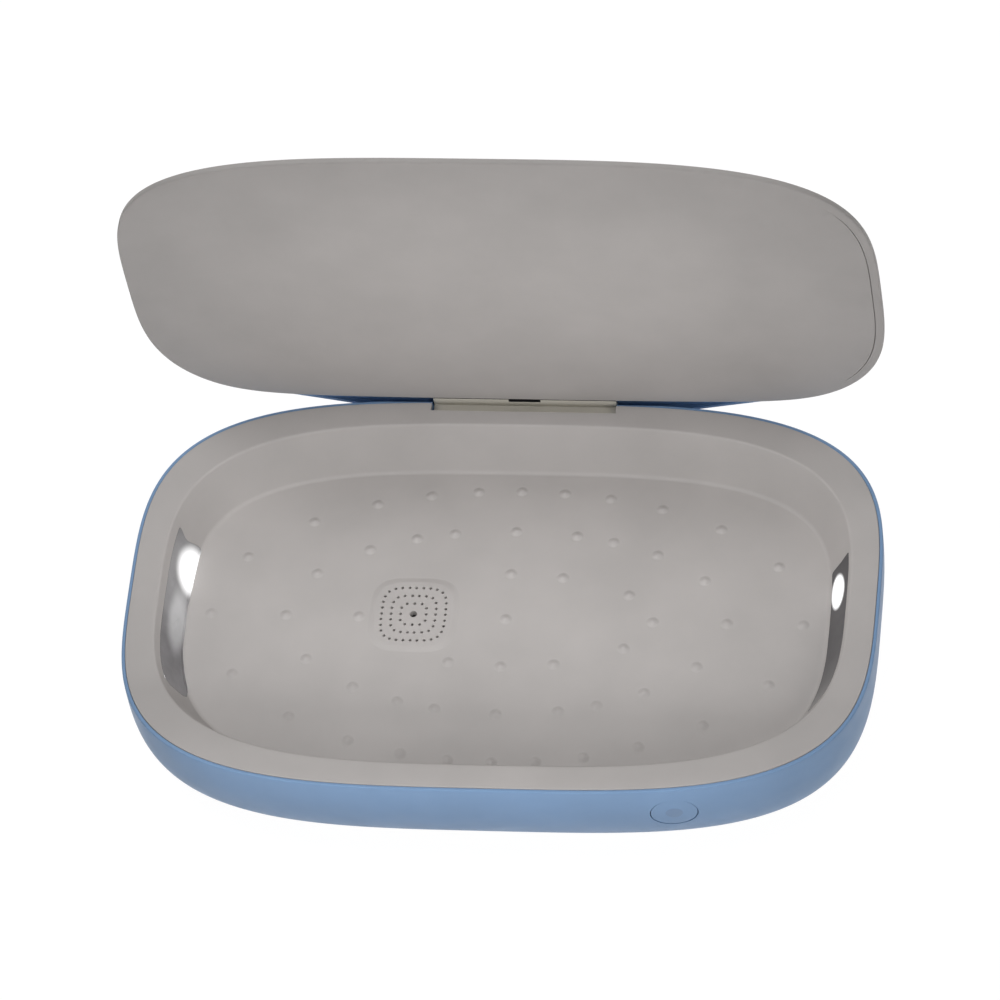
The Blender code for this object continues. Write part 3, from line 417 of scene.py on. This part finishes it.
def loft(bm, rings, closed=False):
    """Skins a row of rings, which is capped at both ends or closed on itself."""
    rows = [[bm.verts.new(p) for p in points] for points in rings]
    count = len(rows[0])
    pairs = list(zip(rows, rows[1:]))
    if closed:
        pairs.append((rows[-1], rows[0]))
    for low, high in pairs:
        for i in range(count):
            j = (i + 1) % count
            bm.faces.new((low[i], low[j], high[j], high[i]))
    if not closed:
        bm.faces.new(rows[0])
        bm.faces.new(rows[-1])


def add_prism(bm, profile, low, high, to_world):
    """Flat outline drawn out from low to high along its third axis."""
    ends = [[bm.verts.new(to_world(u, v, w)) for u, v in profile] for w in (low, high)]
    count = len(profile)
    for i in range(count):
        j = (i + 1) % count
        bm.faces.new((ends[0][i], ends[0][j], ends[1][j], ends[1][i]))
    bm.faces.new(ends[0])
    bm.faces.new(ends[1])


def add_box(bm, low, high, spot=Matrix()):
    size = [b - a for a, b in zip(low, high)]
    mid = [(a + b) / 2 for a, b in zip(low, high)]
    move = spot @ Matrix.Translation(mid) @ Matrix.Diagonal((*size, 1.0))
    bmesh.ops.create_cube(bm, size=1.0, matrix=move)


def add_cylinder(bm, radius, bottom, top, spot=Matrix(), sides=48):
    move = spot @ Matrix.Translation((0, 0, (top + bottom) / 2))
    bmesh.ops.create_cone(bm, cap_ends=True, segments=sides, radius1=radius,
                          radius2=radius, depth=top - bottom, matrix=move)


def rounded_rect(mid_u, mid_v, half_u, half_v, radius, steps=10):
    points = []
    for side_u, side_v, start in ((1, 1, 0), (-1, 1, 90), (-1, -1, 180), (1, -1, 270)):
        for k in range(steps + 1):
            angle = math.radians(start + 90.0 * k / steps)
            points.append((mid_u + side_u * (half_u - radius) + radius * math.cos(angle),
                           mid_v + side_v * (half_v - radius) + radius * math.sin(angle)))
    return points


def fillet(points, radii, steps=5):
    """Rounds the inner corners of an open profile of points, each by its own radius."""
    made = [points[0]]
    for k in range(1, len(points) - 1):
        here = Vector(points[k])
        before = Vector(points[k - 1]) - here
        after = Vector(points[k + 1]) - here
        radius = radii[k]
        if radius <= 0.0:
            made.append(tuple(here))
            continue
        turn = before.angle(after)
        reach = min(radius / math.tan(turn / 2), before.length * 0.49, after.length * 0.49)
        a = here + before.normalized() * reach
        b = here + after.normalized() * reach
        for i in range(steps + 1):
            t = i / steps
            made.append(tuple(a * (1 - t) ** 2 + here * (2 * t * (1 - t)) + b * t ** 2))
    made.append(points[-1])
    return made


def carve(target, tools, mode="DIFFERENCE"):
    """Applies Booleans and drops their cutters."""
    for tool in tools:
        made = target.modifiers.new(tool.name, "BOOLEAN")
        made.operation = mode
        made.solver = "EXACT"
        made.object = tool
    bpy.context.view_layer.update()
    seen = target.evaluated_get(bpy.context.evaluated_depsgraph_get())
    mesh = bpy.data.meshes.new_from_object(seen)
    old = target.data
    target.modifiers.clear()
    target.data = mesh
    bpy.data.meshes.remove(old)
    for tool in tools:
        bpy.data.objects.remove(tool)
    mesh.shade_smooth()
    mesh.set_sharp_from_angle(angle=math.radians(SMOOTH_DEG))


def tool(name, build):
    """Cutter for a Boolean."""
    return place(name, mesh_from(name, build))


def soften(piece, width, segments):
    """Rounds the sharp edges of a piece."""
    soft = piece.modifiers.new("edge", "BEVEL")
    soft.width = width
    soft.segments = segments
    soft.limit_method = "ANGLE"
    soft.angle_limit = math.radians(50)


def wear(piece, body, slot, *nodes):
    """Fastens a visible piece to its body and hides the solids that it stands for."""
    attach(piece, body)
    if nodes:
        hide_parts(*nodes)
    return piece


# base shell


def bowl_profile(skin, floor_z, steps):
    """Inset and height from the rim down to the floor, a given distance inside the outer face."""
    drop = RIM_Z - floor_z
    points = []
    for k in range(1, steps + 1):
        turn = math.pi / 2 * k / steps
        down = drop * max(math.sin(turn), 0.0) ** (2.0 / BOWL_POWER)
        inward = BOWL_INSET * (1.0 - max(math.cos(turn), 0.0) ** (2.0 / BOWL_POWER))
        points.append((skin + inward, RIM_Z - down))
    return points


def body_rings(profile, power=OUTLINE_POWER):
    return [ring(WIDTH / 2 - inset, DEPTH / 2 - inset, height, power)
            for inset, height in profile]


def rear_rounding():
    """Cutter that rounds the rear rim about the hinge, so that the lid's skirt clears it."""
    far = 9.0 * MM
    profile = []
    for k in range(25):
        angle = math.radians(90.0 - 3.75 * k)
        profile.append((HINGE_Y + REAR_ROUND * math.cos(angle),
                        HINGE_Z + REAR_ROUND * math.sin(angle)))
    profile += [(HINGE_Y + far, HINGE_Z), (HINGE_Y + far, HINGE_Z + far),
                (HINGE_Y, HINGE_Z + far)]
    return tool("rear_rounding", lambda bm: add_prism(
        bm, profile, -62 * MM, 62 * MM, lambda u, v, w: (w, u, v)))


def notch_tool(front, low):
    return tool("notch", lambda bm: add_box(
        bm, (-NOTCH_HALF, front, low), (NOTCH_HALF, DEPTH / 2 + 4 * MM, RIM_Z + 5 * MM)))


def build_shell():
    outer = list(reversed(bowl_profile(0.0, SHELL_BASE_Z, 40)))
    top = RIM_Z - LIP_DROP
    step_z = RIM_Z - FLANGE_THICK - FIT
    lip = fillet([(0.0, top - 1.6 * MM), (0.0, top), (LIP, top), (LIP, step_z), (WALL, step_z)],
                 [0, 0.45 * MM, 0.12 * MM, 0, 0])
    inner = [p for p in bowl_profile(WALL, SHELL_BASE_Z + WALL, 12) if p[1] < step_z - MM]
    outer = [p for p in outer if p[1] < top - 1.7 * MM]
    rings = body_rings(outer + lip + inner)
    shell = place("shell_skin", mesh_from("shell_skin", lambda bm: loft(bm, rings)), BLUE)
    socket = rounded_rect(0, RIM_Z - SOCKET_DROP, SOCKET_HALF[0] + SOCKET_ROOM,
                          SOCKET_HALF[1] + SOCKET_ROOM, SOCKET_CORNER)
    carve(shell, [
        notch_tool(HINGE_Y - BOSS_RADIUS - 2 * FIT, HINGE_Z - 3.7 * MM),
        rear_rounding(),
        tool("socket_window", lambda bm: add_prism(
            bm, socket, 52 * MM, 75 * MM, lambda u, v, w: (u, w, v))),
        tool("button_bore", lambda bm: add_cylinder(
            bm, BUTTON_RADIUS + BORE_GAP, -6 * MM, 5 * MM,
            BUTTON @ Matrix.Translation((0, -BORE_SHIFT, 0)), 96)),
    ])
    return wear(shell, "base", "shell_blue", "base_shell")


# tray


def floor_level(x, y):
    """Height of the floor, which is arched from front to rear."""
    spread_y = DEPTH / 2 - RIM_WIDTH - BASIN_DRAFT
    return RIM_Z - FLOOR_CREST - FLOOR_FALL * (y / spread_y) ** 2


def basin_ring(inset, height):
    half_x = WIDTH / 2 - RIM_WIDTH - inset * END_DRAFT / BASIN_DRAFT
    return ring(half_x, DEPTH / 2 - RIM_WIDTH - inset, height, BASIN_POWER)


def wall_profile():
    """Inset and depth share from the rim edge to the floor, with a soft root."""
    points = [(-1.2 * MM, 0.0), (0.0, 0.0), (BASIN_DRAFT - 0.75 * MM, WALL_DEPTH),
              (FLOOR_START, WALL_DEPTH)]
    rounded = fillet(points, [0, 1.3 * MM, 1.5 * MM, 0], 8)
    return [(inset, down / WALL_DEPTH) for inset, down in rounded]


def blend_level(share):
    """Height at a share of the way down from the rim to the floor."""
    return lambda x, y: RIM_Z - (RIM_Z - floor_level(x, y)) * share


def wall_rings():
    """Rings of the basin wall, with more of them on its long straight part."""
    rings = []
    profile = wall_profile()
    for k, (inset, share) in enumerate(profile):
        rings.append(basin_ring(inset, blend_level(share)))
        if k + 1 < len(profile) and abs(profile[k + 1][1] - share) > 0.3:
            for i in range(1, 8):
                t = i / 8
                mix = (inset + (profile[k + 1][0] - inset) * t,
                       share + (profile[k + 1][1] - share) * t)
                rings.append(basin_ring(mix[0], blend_level(mix[1])))
    return rings


def build_tray():
    edge = LIP + SHUT
    low = RIM_Z - FLANGE_THICK
    rim = fillet([(edge, low), (edge, RIM_Z), (edge + 3 * MM, RIM_Z)], [0, 0.2 * MM, 0])
    rings = body_rings(rim) + wall_rings()
    last_x = WIDTH / 2 - RIM_WIDTH - FLOOR_START * END_DRAFT / BASIN_DRAFT
    last_y = DEPTH / 2 - RIM_WIDTH - FLOOR_START
    for k in range(1, 44):
        scale = 1.0 - k / 44.0
        rings.append(ring(last_x * scale, last_y * scale, floor_level, BASIN_POWER))

    def under_level(x, y):
        return floor_level(x, y) - TRAY_WALL
    under = [ring(last_x * 0.05, last_y * 0.05, under_level, BASIN_POWER),
             ring(last_x * 0.5, last_y * 0.5, under_level, BASIN_POWER),
             ring(last_x, last_y, under_level, BASIN_POWER),
             basin_ring(BASIN_DRAFT - TRAY_WALL, floor_level), basin_ring(-TRAY_WALL, low)]
    tray = place("tray_skin", mesh_from("tray_skin", lambda bm: loft(bm, under + rings)), TRAY)
    opening = outline(GRILLE_PAD - 0.9 * MM, GRILLE_PAD - 0.9 * MM, GRILLE_POWER, 64)
    carve(tray, [
        notch_tool(NOTCH_FRONT_Y, RIM_Z - 4 * MM),
        rear_rounding(),
        window_tool(-1, SHUT), window_tool(1, SHUT),
        tool("grille_opening", lambda bm: add_prism(
            bm, opening, floor_level(0, 0) - 5 * MM, floor_level(0, 0) + 5 * MM,
            lambda u, v, w: (GRILLE_X + u, v, w))),
    ])
    return wear(tray, "base", "tray_grey", "inner_tray")


def window_profile(side, grow):
    """Strip outline in Y and Z: its foot follows the arch of the floor."""
    rear, front = WINDOW_ENDS[side]
    top = RIM_Z - WINDOW_TOP[side] + grow

    def foot(y):
        return floor_level(0, y) + WINDOW_FOOT[side] - grow
    rear += grow
    front -= grow
    points = [(0.0, top), (front, top), (front, foot(front))]
    points += [(y * MM, foot(y * MM)) for y in (-14, 0)]
    points += [(rear - 0.6 * MM, foot(rear)),
               (rear - WINDOW_NOTCH[side], (top + foot(rear)) / 2 + MM),
               (rear, top), (0.0, top)]
    radii = [0, 3.4 * MM, 5.4 * MM, 0, 0, 1.2 * MM, 3.0 * MM, 0.6 * MM, 0]
    return fillet(points, radii, 6)[:-1]


def window_tool(side, grow, outer=102 * MM):
    """Cutter of the strip's outline through the end wall."""
    a, b = sorted((side * 84 * MM, side * outer))
    return tool("window_tool", lambda bm: add_prism(
        bm, window_profile(side, grow), a, b, lambda u, v, w: (w, u, v)))


def build_window(side):
    """Strip cut from the same drafted wall as the tray, so that it lies flush in it."""
    label = "left" if side < 0 else "right"
    # the rings of the wall without those of the flat rim and the floor
    face = wall_rings()[4:-3]
    back = []
    for points in reversed(face):
        reach_x = max(abs(p[0]) for p in points)
        reach_y = max(abs(p[1]) for p in points)
        back.append([(x * (1 + WINDOW_THICK / reach_x), y * (1 + WINDOW_THICK / reach_y), z)
                     for x, y, z in points])
    strip = place("window_skin_" + label, mesh_from(
        "window_skin", lambda bm: loft(bm, face + back, closed=True)), MIRRORS[side])
    carve(strip, [window_tool(side, 0.0, 104 * MM)], "INTERSECT")
    return wear(strip, "base", "window_mirror", "uv_window_" + label)


# bumps and grille


def ring_angle_spots(half, angles):
    """Spots on an ellipse at given polar angles, turned from the rear."""
    spots = []
    for degrees in angles:
        t = math.radians(degrees)
        reach = 1.0 / math.hypot(math.sin(t) / half[0], math.cos(t) / half[1])
        spots.append((reach * math.sin(t), reach * math.cos(t) + BUMP_SHIFT_Y))
    return spots


def bump_spots():
    turns = range(0, 360, BUMP_STEP_DEG)
    second = [t for t in turns if t % 180 not in (BUMP_STEP_DEG, 180 - BUMP_STEP_DEG)]
    third = [t for t in turns if t % 180 in (0, 45, 75, 90, 105, 135)]
    spots = ring_angle_spots(OUTER_RING, turns)
    spots += ring_angle_spots(SECOND_RING, second)
    spots += ring_angle_spots(THIRD_RING, third)
    spots.append((0.0, BUMP_SHIFT_Y))
    clear = GRILLE_PAD + 2 * BUMP_RADIUS
    return [(x, y) for x, y in spots
            if max(abs(x - GRILLE_X), abs(y)) > clear or x > 0]


def build_bumps():
    """Small domes whose skirts run out level into the floor."""
    rows = 9
    sides = 28

    def rise(r):
        share = r / BUMP_SKIRT
        return BUMP_HEIGHT * (0.5 + 0.5 * math.cos(math.pi * share)) ** 0.8

    def build(bm):
        for x, y in bump_spots():
            crown = bm.verts.new((x, y, floor_level(x, y) + BUMP_HEIGHT))
            before = None
            for k in range(1, rows + 1):
                r = BUMP_SKIRT * k / rows
                row = []
                for i in range(sides):
                    t = 2 * math.pi * i / sides
                    px = x + r * math.cos(t)
                    py = y + r * math.sin(t)
                    row.append(bm.verts.new((px, py, floor_level(px, py) + rise(r) + 0.004 * MM)))
                for i in range(sides):
                    j = (i + 1) % sides
                    if before is None:
                        bm.faces.new((crown, row[i], row[j]))
                    else:
                        bm.faces.new((before[i], row[i], row[j], before[j]))
                before = row
    made = place("floor_bumps", mesh_from("floor_bumps", build, 80), TRAY)
    return wear(made, "base", "tray_grey")


def even_spots(half, count, power=4.0, fine=720):
    """Spots spaced evenly along a rounded square."""
    path = outline(half, half, power, fine)
    lengths = [0.0]
    for i in range(fine):
        a = path[i]
        b = path[(i + 1) % fine]
        lengths.append(lengths[-1] + math.hypot(b[0] - a[0], b[1] - a[1]))
    spots = []
    index = 0
    for k in range(count):
        goal = lengths[-1] * k / count
        while lengths[index + 1] < goal:
            index += 1
        spots.append(path[index])
    return spots


def build_grille():
    top = floor_level(0, 0) + GRILLE_PAD_RISE
    low = floor_level(0, 0) - TRAY_WALL

    def plate(bm):
        foot = outline(GRILLE_PAD - MM, GRILLE_PAD - MM, GRILLE_POWER, 96)
        rings = [[(x + GRILLE_X, y, height) for x, y in foot] for height in (low, top - 0.9 * MM)]
        for k in range(9):
            t = k / 8.0
            half = GRILLE_PAD + 1.2 * MM * (1 - t) - 0.9 * MM * t
            rise = GRILLE_PAD_RISE * (0.5 - 0.5 * math.cos(math.pi * t))
            row = []
            for x, y in outline(half, half, GRILLE_POWER, 96):
                base = floor_level(x, y) - 0.01 * MM
                flat = top - GRILLE_PAD_RISE
                row.append((x + GRILLE_X, y, base * (1 - t) + flat * t + rise))
            rings.append(row)
        loft(bm, rings)
    made = place("grille_plate", mesh_from("grille_plate", plate, 60), TRAY)

    def holes(bm):
        add_cylinder(bm, GRILLE_CENTRE_HOLE, low - MM, top + MM,
                     Matrix.Translation((GRILLE_X, 0, 0)), 32)
        for half, count in GRILLE_RINGS:
            for x, y in even_spots(half, count):
                add_cylinder(bm, GRILLE_HOLE, low - MM, top + MM,
                             Matrix.Translation((GRILLE_X + x, y, 0)), 16)
    carve(made, [tool("grille_holes", holes)])
    return wear(made, "base", "tray_grey")


# button


def bowl_inset_at(down, drop):
    """Inset of the outer face at a distance below the rim."""
    return BOWL_INSET * (1.0 - (1.0 - (down / drop) ** BOWL_POWER) ** (1.0 / BOWL_POWER))


def button_frame():
    """Frame on the curved front wall, with its third axis pointing out."""
    drop = RIM_Z - SHELL_BASE_Z
    inset = bowl_inset_at(BUTTON_DROP, drop)
    half_x = WIDTH / 2 - inset
    half_y = DEPTH / 2 - inset
    share = (BUTTON_X / half_x) ** OUTLINE_POWER
    y = -half_y * (1 - share) ** (1 / OUTLINE_POWER)
    small = 0.5 * MM
    slope = (bowl_inset_at(BUTTON_DROP + small, drop) - bowl_inset_at(BUTTON_DROP - small, drop))
    slope /= 2 * small
    turn = (half_y / half_x) * (BUTTON_X / half_x) ** (OUTLINE_POWER - 1)
    turn /= (abs(y) / half_y) ** (OUTLINE_POWER - 1)
    out = Vector((turn, -1.0, -slope)).normalized()
    across = -(Vector((0, 0, 1)).cross(-out).normalized())
    up = out.cross(across)
    made = Matrix((across, up, out)).transposed().to_4x4()
    made.translation = Vector((BUTTON_X, y, RIM_Z - BUTTON_DROP))
    return made


BUTTON = button_frame()


def wall_disc(name, radius, look, crown=0.0):
    """Round piece cut from the curved wall, so that it follows the wall's surface."""
    outer = bowl_profile(-crown, SHELL_BASE_Z, 40)[:WALL_ROWS]
    inner = bowl_profile(WALL, SHELL_BASE_Z + WALL, 40)[:WALL_ROWS]
    rings = body_rings(outer + list(reversed(inner)))
    made = place(name, mesh_from(name, lambda bm: loft(bm, rings, closed=True)), look)

    def keep(bm):
        turns = [circle(0, 0, radius, -6 * MM, 96), circle(0, 0, radius, 5 * MM, 96)]
        loft(bm, [[BUTTON @ Vector(p) for p in points] for points in turns])
    carve(made, [tool(name + "_keep", keep)], "INTERSECT")
    soften(made, 0.25 * MM, 3)
    return made


def build_button():
    cap = wall_disc("button_skin", BUTTON_RADIUS, BLUE)
    wear(cap, "button", "shell_blue", "power_button")
    guide = wall_disc("guide_skin", GUIDE_RADIUS, GUIDE, 0.02 * MM)
    wear(guide, "button", "guide_frost", "button_light_guide")


# lid, built closed and turned open about the hinge


PIN_FRAME = Matrix.Translation((0, HINGE_Y, HINGE_Z)) @ Matrix.Rotation(math.pi / 2, 4, "Y")


def open_lid(item):
    """Turns a piece that was built closed to the open pose of the photograph."""
    turn = Matrix.Rotation(-math.radians(LID_OPEN_DEG), 4, "X")
    axis = Matrix.Translation((0, HINGE_Y, HINGE_Z))
    item.data.transform(axis @ turn @ axis.inverted())
    item.data.update()


def shifted(points, move_y):
    return [(x, y + move_y, z) for x, y, z in points]


def lid_rings(profile):
    return [shifted(ring(LID_HALF_X - inset, LID_HALF_Y - inset, height), LID_MID_Y)
            for inset, height in profile]


def seam_level(x, y):
    """The panel seam stands open toward the right end and closes up elsewhere."""
    share = min(1.0, max(0.0, (x - SEAM_FROM[0]) / SEAM_RUN[0]))
    share *= min(1.0, max(0.0, (y - SEAM_FROM[1]) / SEAM_RUN[1]))
    return PANEL_Z + SEAM_DEPTH * share * share * (3.0 - 2.0 * share)


def eased(y):
    """Draws the outline in softly toward the straight rear edge of the liner."""
    limit = CHORD_Y + 0.4 * MM
    return -CORNER_BLEND * math.log(math.exp(-y / CORNER_BLEND) + math.exp(-limit / CORNER_BLEND))


def build_liner():
    back = BAND_Z + LINER_THICK
    step = PANEL_INSET
    profile = fillet([(4 * MM, back), (0.1 * MM, back), (0.0, PANEL_Z), (step / 2, PANEL_Z)],
                     [0, 0.2 * MM, 0.7 * MM, 0])
    profile += [(step - SEAM_HALF - 0.02 * MM, PANEL_Z),
                (step - SEAM_HALF, seam_level), (step + SEAM_HALF, seam_level),
                (step + SEAM_HALF + 0.02 * MM, PANEL_Z), (step + 3 * MM, PANEL_Z)]
    rings = lid_rings(profile)
    for scale in (0.9, 0.7, 0.4, 0.1):
        rings.append(shifted(ring((LID_HALF_X - step - 3 * MM) * scale,
                                  (LID_HALF_Y - step - 3 * MM) * scale, PANEL_Z), LID_MID_Y))
    rings = [[(x, eased(y), z) for x, y, z in points] for points in rings]
    made = place("liner_skin", mesh_from("liner_skin", lambda bm: loft(bm, rings)), LINER)
    carve(made, [tool("chord", lambda bm: add_box(
        bm, (-WIDTH, CHORD_Y, RIM_Z - 10 * MM), (WIDTH, CHORD_Y + 40 * MM, RIM_Z + 30 * MM)))])
    open_lid(made)
    return wear(made, "lid", "liner_grey", "lid_liner")


def lid_level(scale):
    """Height of the lid's domed top, from its middle (0) to its edge (1)."""
    return LID_Z + LID_EDGE + LID_RISE * (1.0 - scale ** LID_POWER)


def shell_ring(scale, height, inset=0.0):
    half_x = (LID_HALF_X - LID_OVERHANG - inset) * scale
    half_y = (LID_HALF_Y - LID_OVERHANG / 2 - inset) * scale
    return shifted(ring(half_x, half_y, height), LID_MID_Y + LID_OVERHANG / 2)


def rear_skirt():
    """Lip under the rear edge of the lid skin, over the hinge gap."""
    high = LID_Z + 0.4 * MM

    def low(x, y):
        share = min(1.0, max(0.0, (abs(x) - SKIRT_FULL) / (SKIRT_HALF - SKIRT_FULL)))
        return SKIRT_LOW + (high - 0.35 * MM - SKIRT_LOW) * (1 - (1 - share) ** SKIRT_CURVE)
    made = tool("rear_skirt", lambda bm: loft(bm, [
        shell_ring(1.0, low, 0.02 * MM), shell_ring(1.0, high, 0.02 * MM),
        shell_ring(1.0, high, SKIRT_THICK), shell_ring(1.0, low, SKIRT_THICK)], closed=True))
    carve(made, [tool("skirt_keep", lambda bm: add_box(
        bm, (-SKIRT_HALF, HINGE_Y - 3 * MM, HINGE_Z),
        (SKIRT_HALF, DEPTH / 2 + 4 * MM, high + MM)))], "INTERSECT")
    carve(made, [tool("skirt_clearance", lambda bm: add_cylinder(
        bm, SKIRT_CLEAR, -WIDTH / 2, WIDTH / 2, PIN_FRAME, 192))])
    return made


def build_lid_shell():
    rings = []
    for k in range(1, 41):
        scale = k / 40.0
        rings.append(shell_ring(scale, lid_level(scale)))
    edge = fillet([(0.0, LID_Z + LID_EDGE - 0.02 * MM), (0.0, LID_Z), (LID_LEDGE, LID_Z)],
                  [0, 0.3 * MM, 0])
    rings += [shell_ring(1.0, height, inset) for inset, height in edge]
    for scale in (0.85, 0.7, 0.45, 0.12):
        rings.append(shell_ring(scale, lid_level(scale) - LID_SKIN))
    made = place("lid_skin", mesh_from("lid_skin", lambda bm: loft(bm, rings)), BLUE)
    carve(made, [rear_skirt()], "UNION")
    open_lid(made)
    return wear(made, "lid", "shell_blue", "lid_shell")


def knuckle_profile():
    """Section of the hinge block: plate under the liner, arm and boss round the pin."""
    low = BAND_Z + LINER_THICK - HINGE_Z
    ledge = PANEL_Z - HINGE_Z
    front = CHORD_Y - HINGE_Y + FIT
    arm = NOTCH_FRONT_Y - HINGE_Y + FIT
    points = [(front, ledge), (front, low), (1.6 * MM, low), (1.8 * MM, ledge + 0.5 * MM),
              (3.0 * MM, 3.2 * MM), (3.3 * MM, 1.6 * MM)]
    for k in range(25):
        angle = math.radians(-20.0 - 220.0 * k / 24)
        points.append((BOSS_RADIUS * math.cos(angle), BOSS_RADIUS * math.sin(angle)))
    points += [(arm, 2.0 * MM), (arm, ledge)]
    return points


def build_knuckle():
    made = place("knuckle_skin", mesh_from("knuckle_skin", lambda bm: add_prism(
        bm, knuckle_profile(), -KNUCKLE_HALF, KNUCKLE_HALF,
        lambda u, v, w: (w, HINGE_Y + u, HINGE_Z + v))), KNUCKLE)
    top = CHORD_Y + FIT
    carve(made, [
        tool("pin_bore", lambda bm: add_cylinder(
            bm, PIN_HOLE, -KNUCKLE_HALF - MM, KNUCKLE_HALF + MM, PIN_FRAME, 32)),
        tool("slot", lambda bm: add_box(bm, (-SLOT_HALF, top - MM, PANEL_Z - MM),
                                        (SLOT_HALF, top + SLOT_DEEP, PANEL_Z + SLOT_HIGH))),
    ])
    # the faces inside the hinge slot take the black switch plastic as painted shade for the
    # slot's depth
    made.data.materials.append(SWITCH_AND_SLOT_SHADE)
    for face in made.data.polygons:
        x, y, z = face.center
        inside = abs(x) < SLOT_HALF + 0.2 * MM and top - MM < y < top + SLOT_DEEP + 0.1 * MM
        if inside and PANEL_Z + 0.05 * MM < z < PANEL_Z + SLOT_HIGH + 0.1 * MM:
            face.material_index = 1
    soften(made, 0.2 * MM, 2)
    open_lid(made)
    return wear(made, "lid", "knuckle_grey", "hinge_knuckle")


# stage, light and camera


def build_stage():
    """Pale floor that a camera ray sees as white and that keeps the object's shadow."""
    mesh = mesh_from("floor_sheet", lambda bm: add_box(
        bm, (-4.0, -4.0, -0.021), (4.0, 4.0, -0.001)))
    floor = place("floor_sheet", mesh)
    made, tree, shader = base_material("studio_floor")
    shader.inputs["Base Color"].default_value = (0.9, 0.9, 0.9, 1.0)
    shader.inputs["Roughness"].default_value = 0.9
    shader.inputs["Specular IOR Level"].default_value = 0.0
    glow = tree.nodes.new("ShaderNodeEmission")
    glow.inputs["Strength"].default_value = GLOW_STRENGTH
    path = tree.nodes.new("ShaderNodeLightPath")
    seen = joined(tree, "MAXIMUM", path.outputs["Is Camera Ray"], path.outputs["Is Glossy Ray"])
    seen = joined(tree, "MAXIMUM", seen, path.outputs["Is Transmission Ray"])
    share = joined(tree, "MULTIPLY", seen, GLOW_SHARE)
    mix = tree.nodes.new("ShaderNodeMixShader")
    tree.links.new(share, mix.inputs["Fac"])
    tree.links.new(shader.outputs[0], mix.inputs[1])
    tree.links.new(glow.outputs[0], mix.inputs[2])
    tree.links.new(mix.outputs[0], tree.nodes["Material Output"].inputs["Surface"])
    mesh.materials.append(made)


def area_light(name, spot, aim, size, watts):
    data = bpy.data.lights.new(name, "AREA")
    data.shape = "RECTANGLE"
    data.size = size[0]
    data.size_y = size[1]
    data.energy = watts
    lamp = place(name, data)
    lamp.location = spot
    lamp.rotation_mode = "QUATERNION"
    lamp.rotation_quaternion = (Vector(aim) - Vector(spot)).to_track_quat("-Z", "Y")
    return lamp


def build_light():
    world = bpy.data.worlds.new("studio")
    bpy.context.scene.world = world
    world.use_nodes = True
    tree = world.node_tree
    back = tree.nodes["Background"]
    back.inputs["Color"].default_value = (1.0, 1.0, 1.0, 1.0)
    back.inputs["Strength"].default_value = WORLD_STRENGTH
    for name, spot, watts in SOFT_LAMPS:
        area_light(name, spot, (0.0, 0.0, 0.03), (0.6, 0.6), watts)
    for row in FILL_LAMPS:
        lamp = area_light(*row)
        lamp.visible_camera = False
        lamp.visible_glossy = False


def build_camera():
    data = bpy.data.cameras.new("photo_camera")
    data.sensor_width = SENSOR
    data.lens = CAMERA_LENS
    data.clip_start = 0.1
    data.clip_end = 20.0
    camera = place("photo_camera", data)
    ahead = Vector((math.sin(CAMERA_YAW) * math.cos(CAMERA_PITCH),
                    math.cos(CAMERA_YAW) * math.cos(CAMERA_PITCH), -math.sin(CAMERA_PITCH)))
    flat = Vector((math.cos(CAMERA_YAW), -math.sin(CAMERA_YAW), 0.0))
    over = flat.cross(ahead)
    right = math.cos(CAMERA_ROLL) * flat + math.sin(CAMERA_ROLL) * over
    up = -math.sin(CAMERA_ROLL) * flat + math.cos(CAMERA_ROLL) * over
    pose = Matrix((right, up, -ahead)).transposed().to_4x4()
    pose.translation = Vector(CAMERA_SPOT)
    camera.matrix_world = pose
    bpy.context.scene.camera = camera


build_camera()
dress_nodes()
build_shell()
build_tray()
build_window(-1)
build_window(1)
build_bumps()
build_grille()
build_button()
build_liner()
build_lid_shell()
build_knuckle()
build_stage()
build_light()

bpy.context.scene.view_settings.view_transform = "Standard"
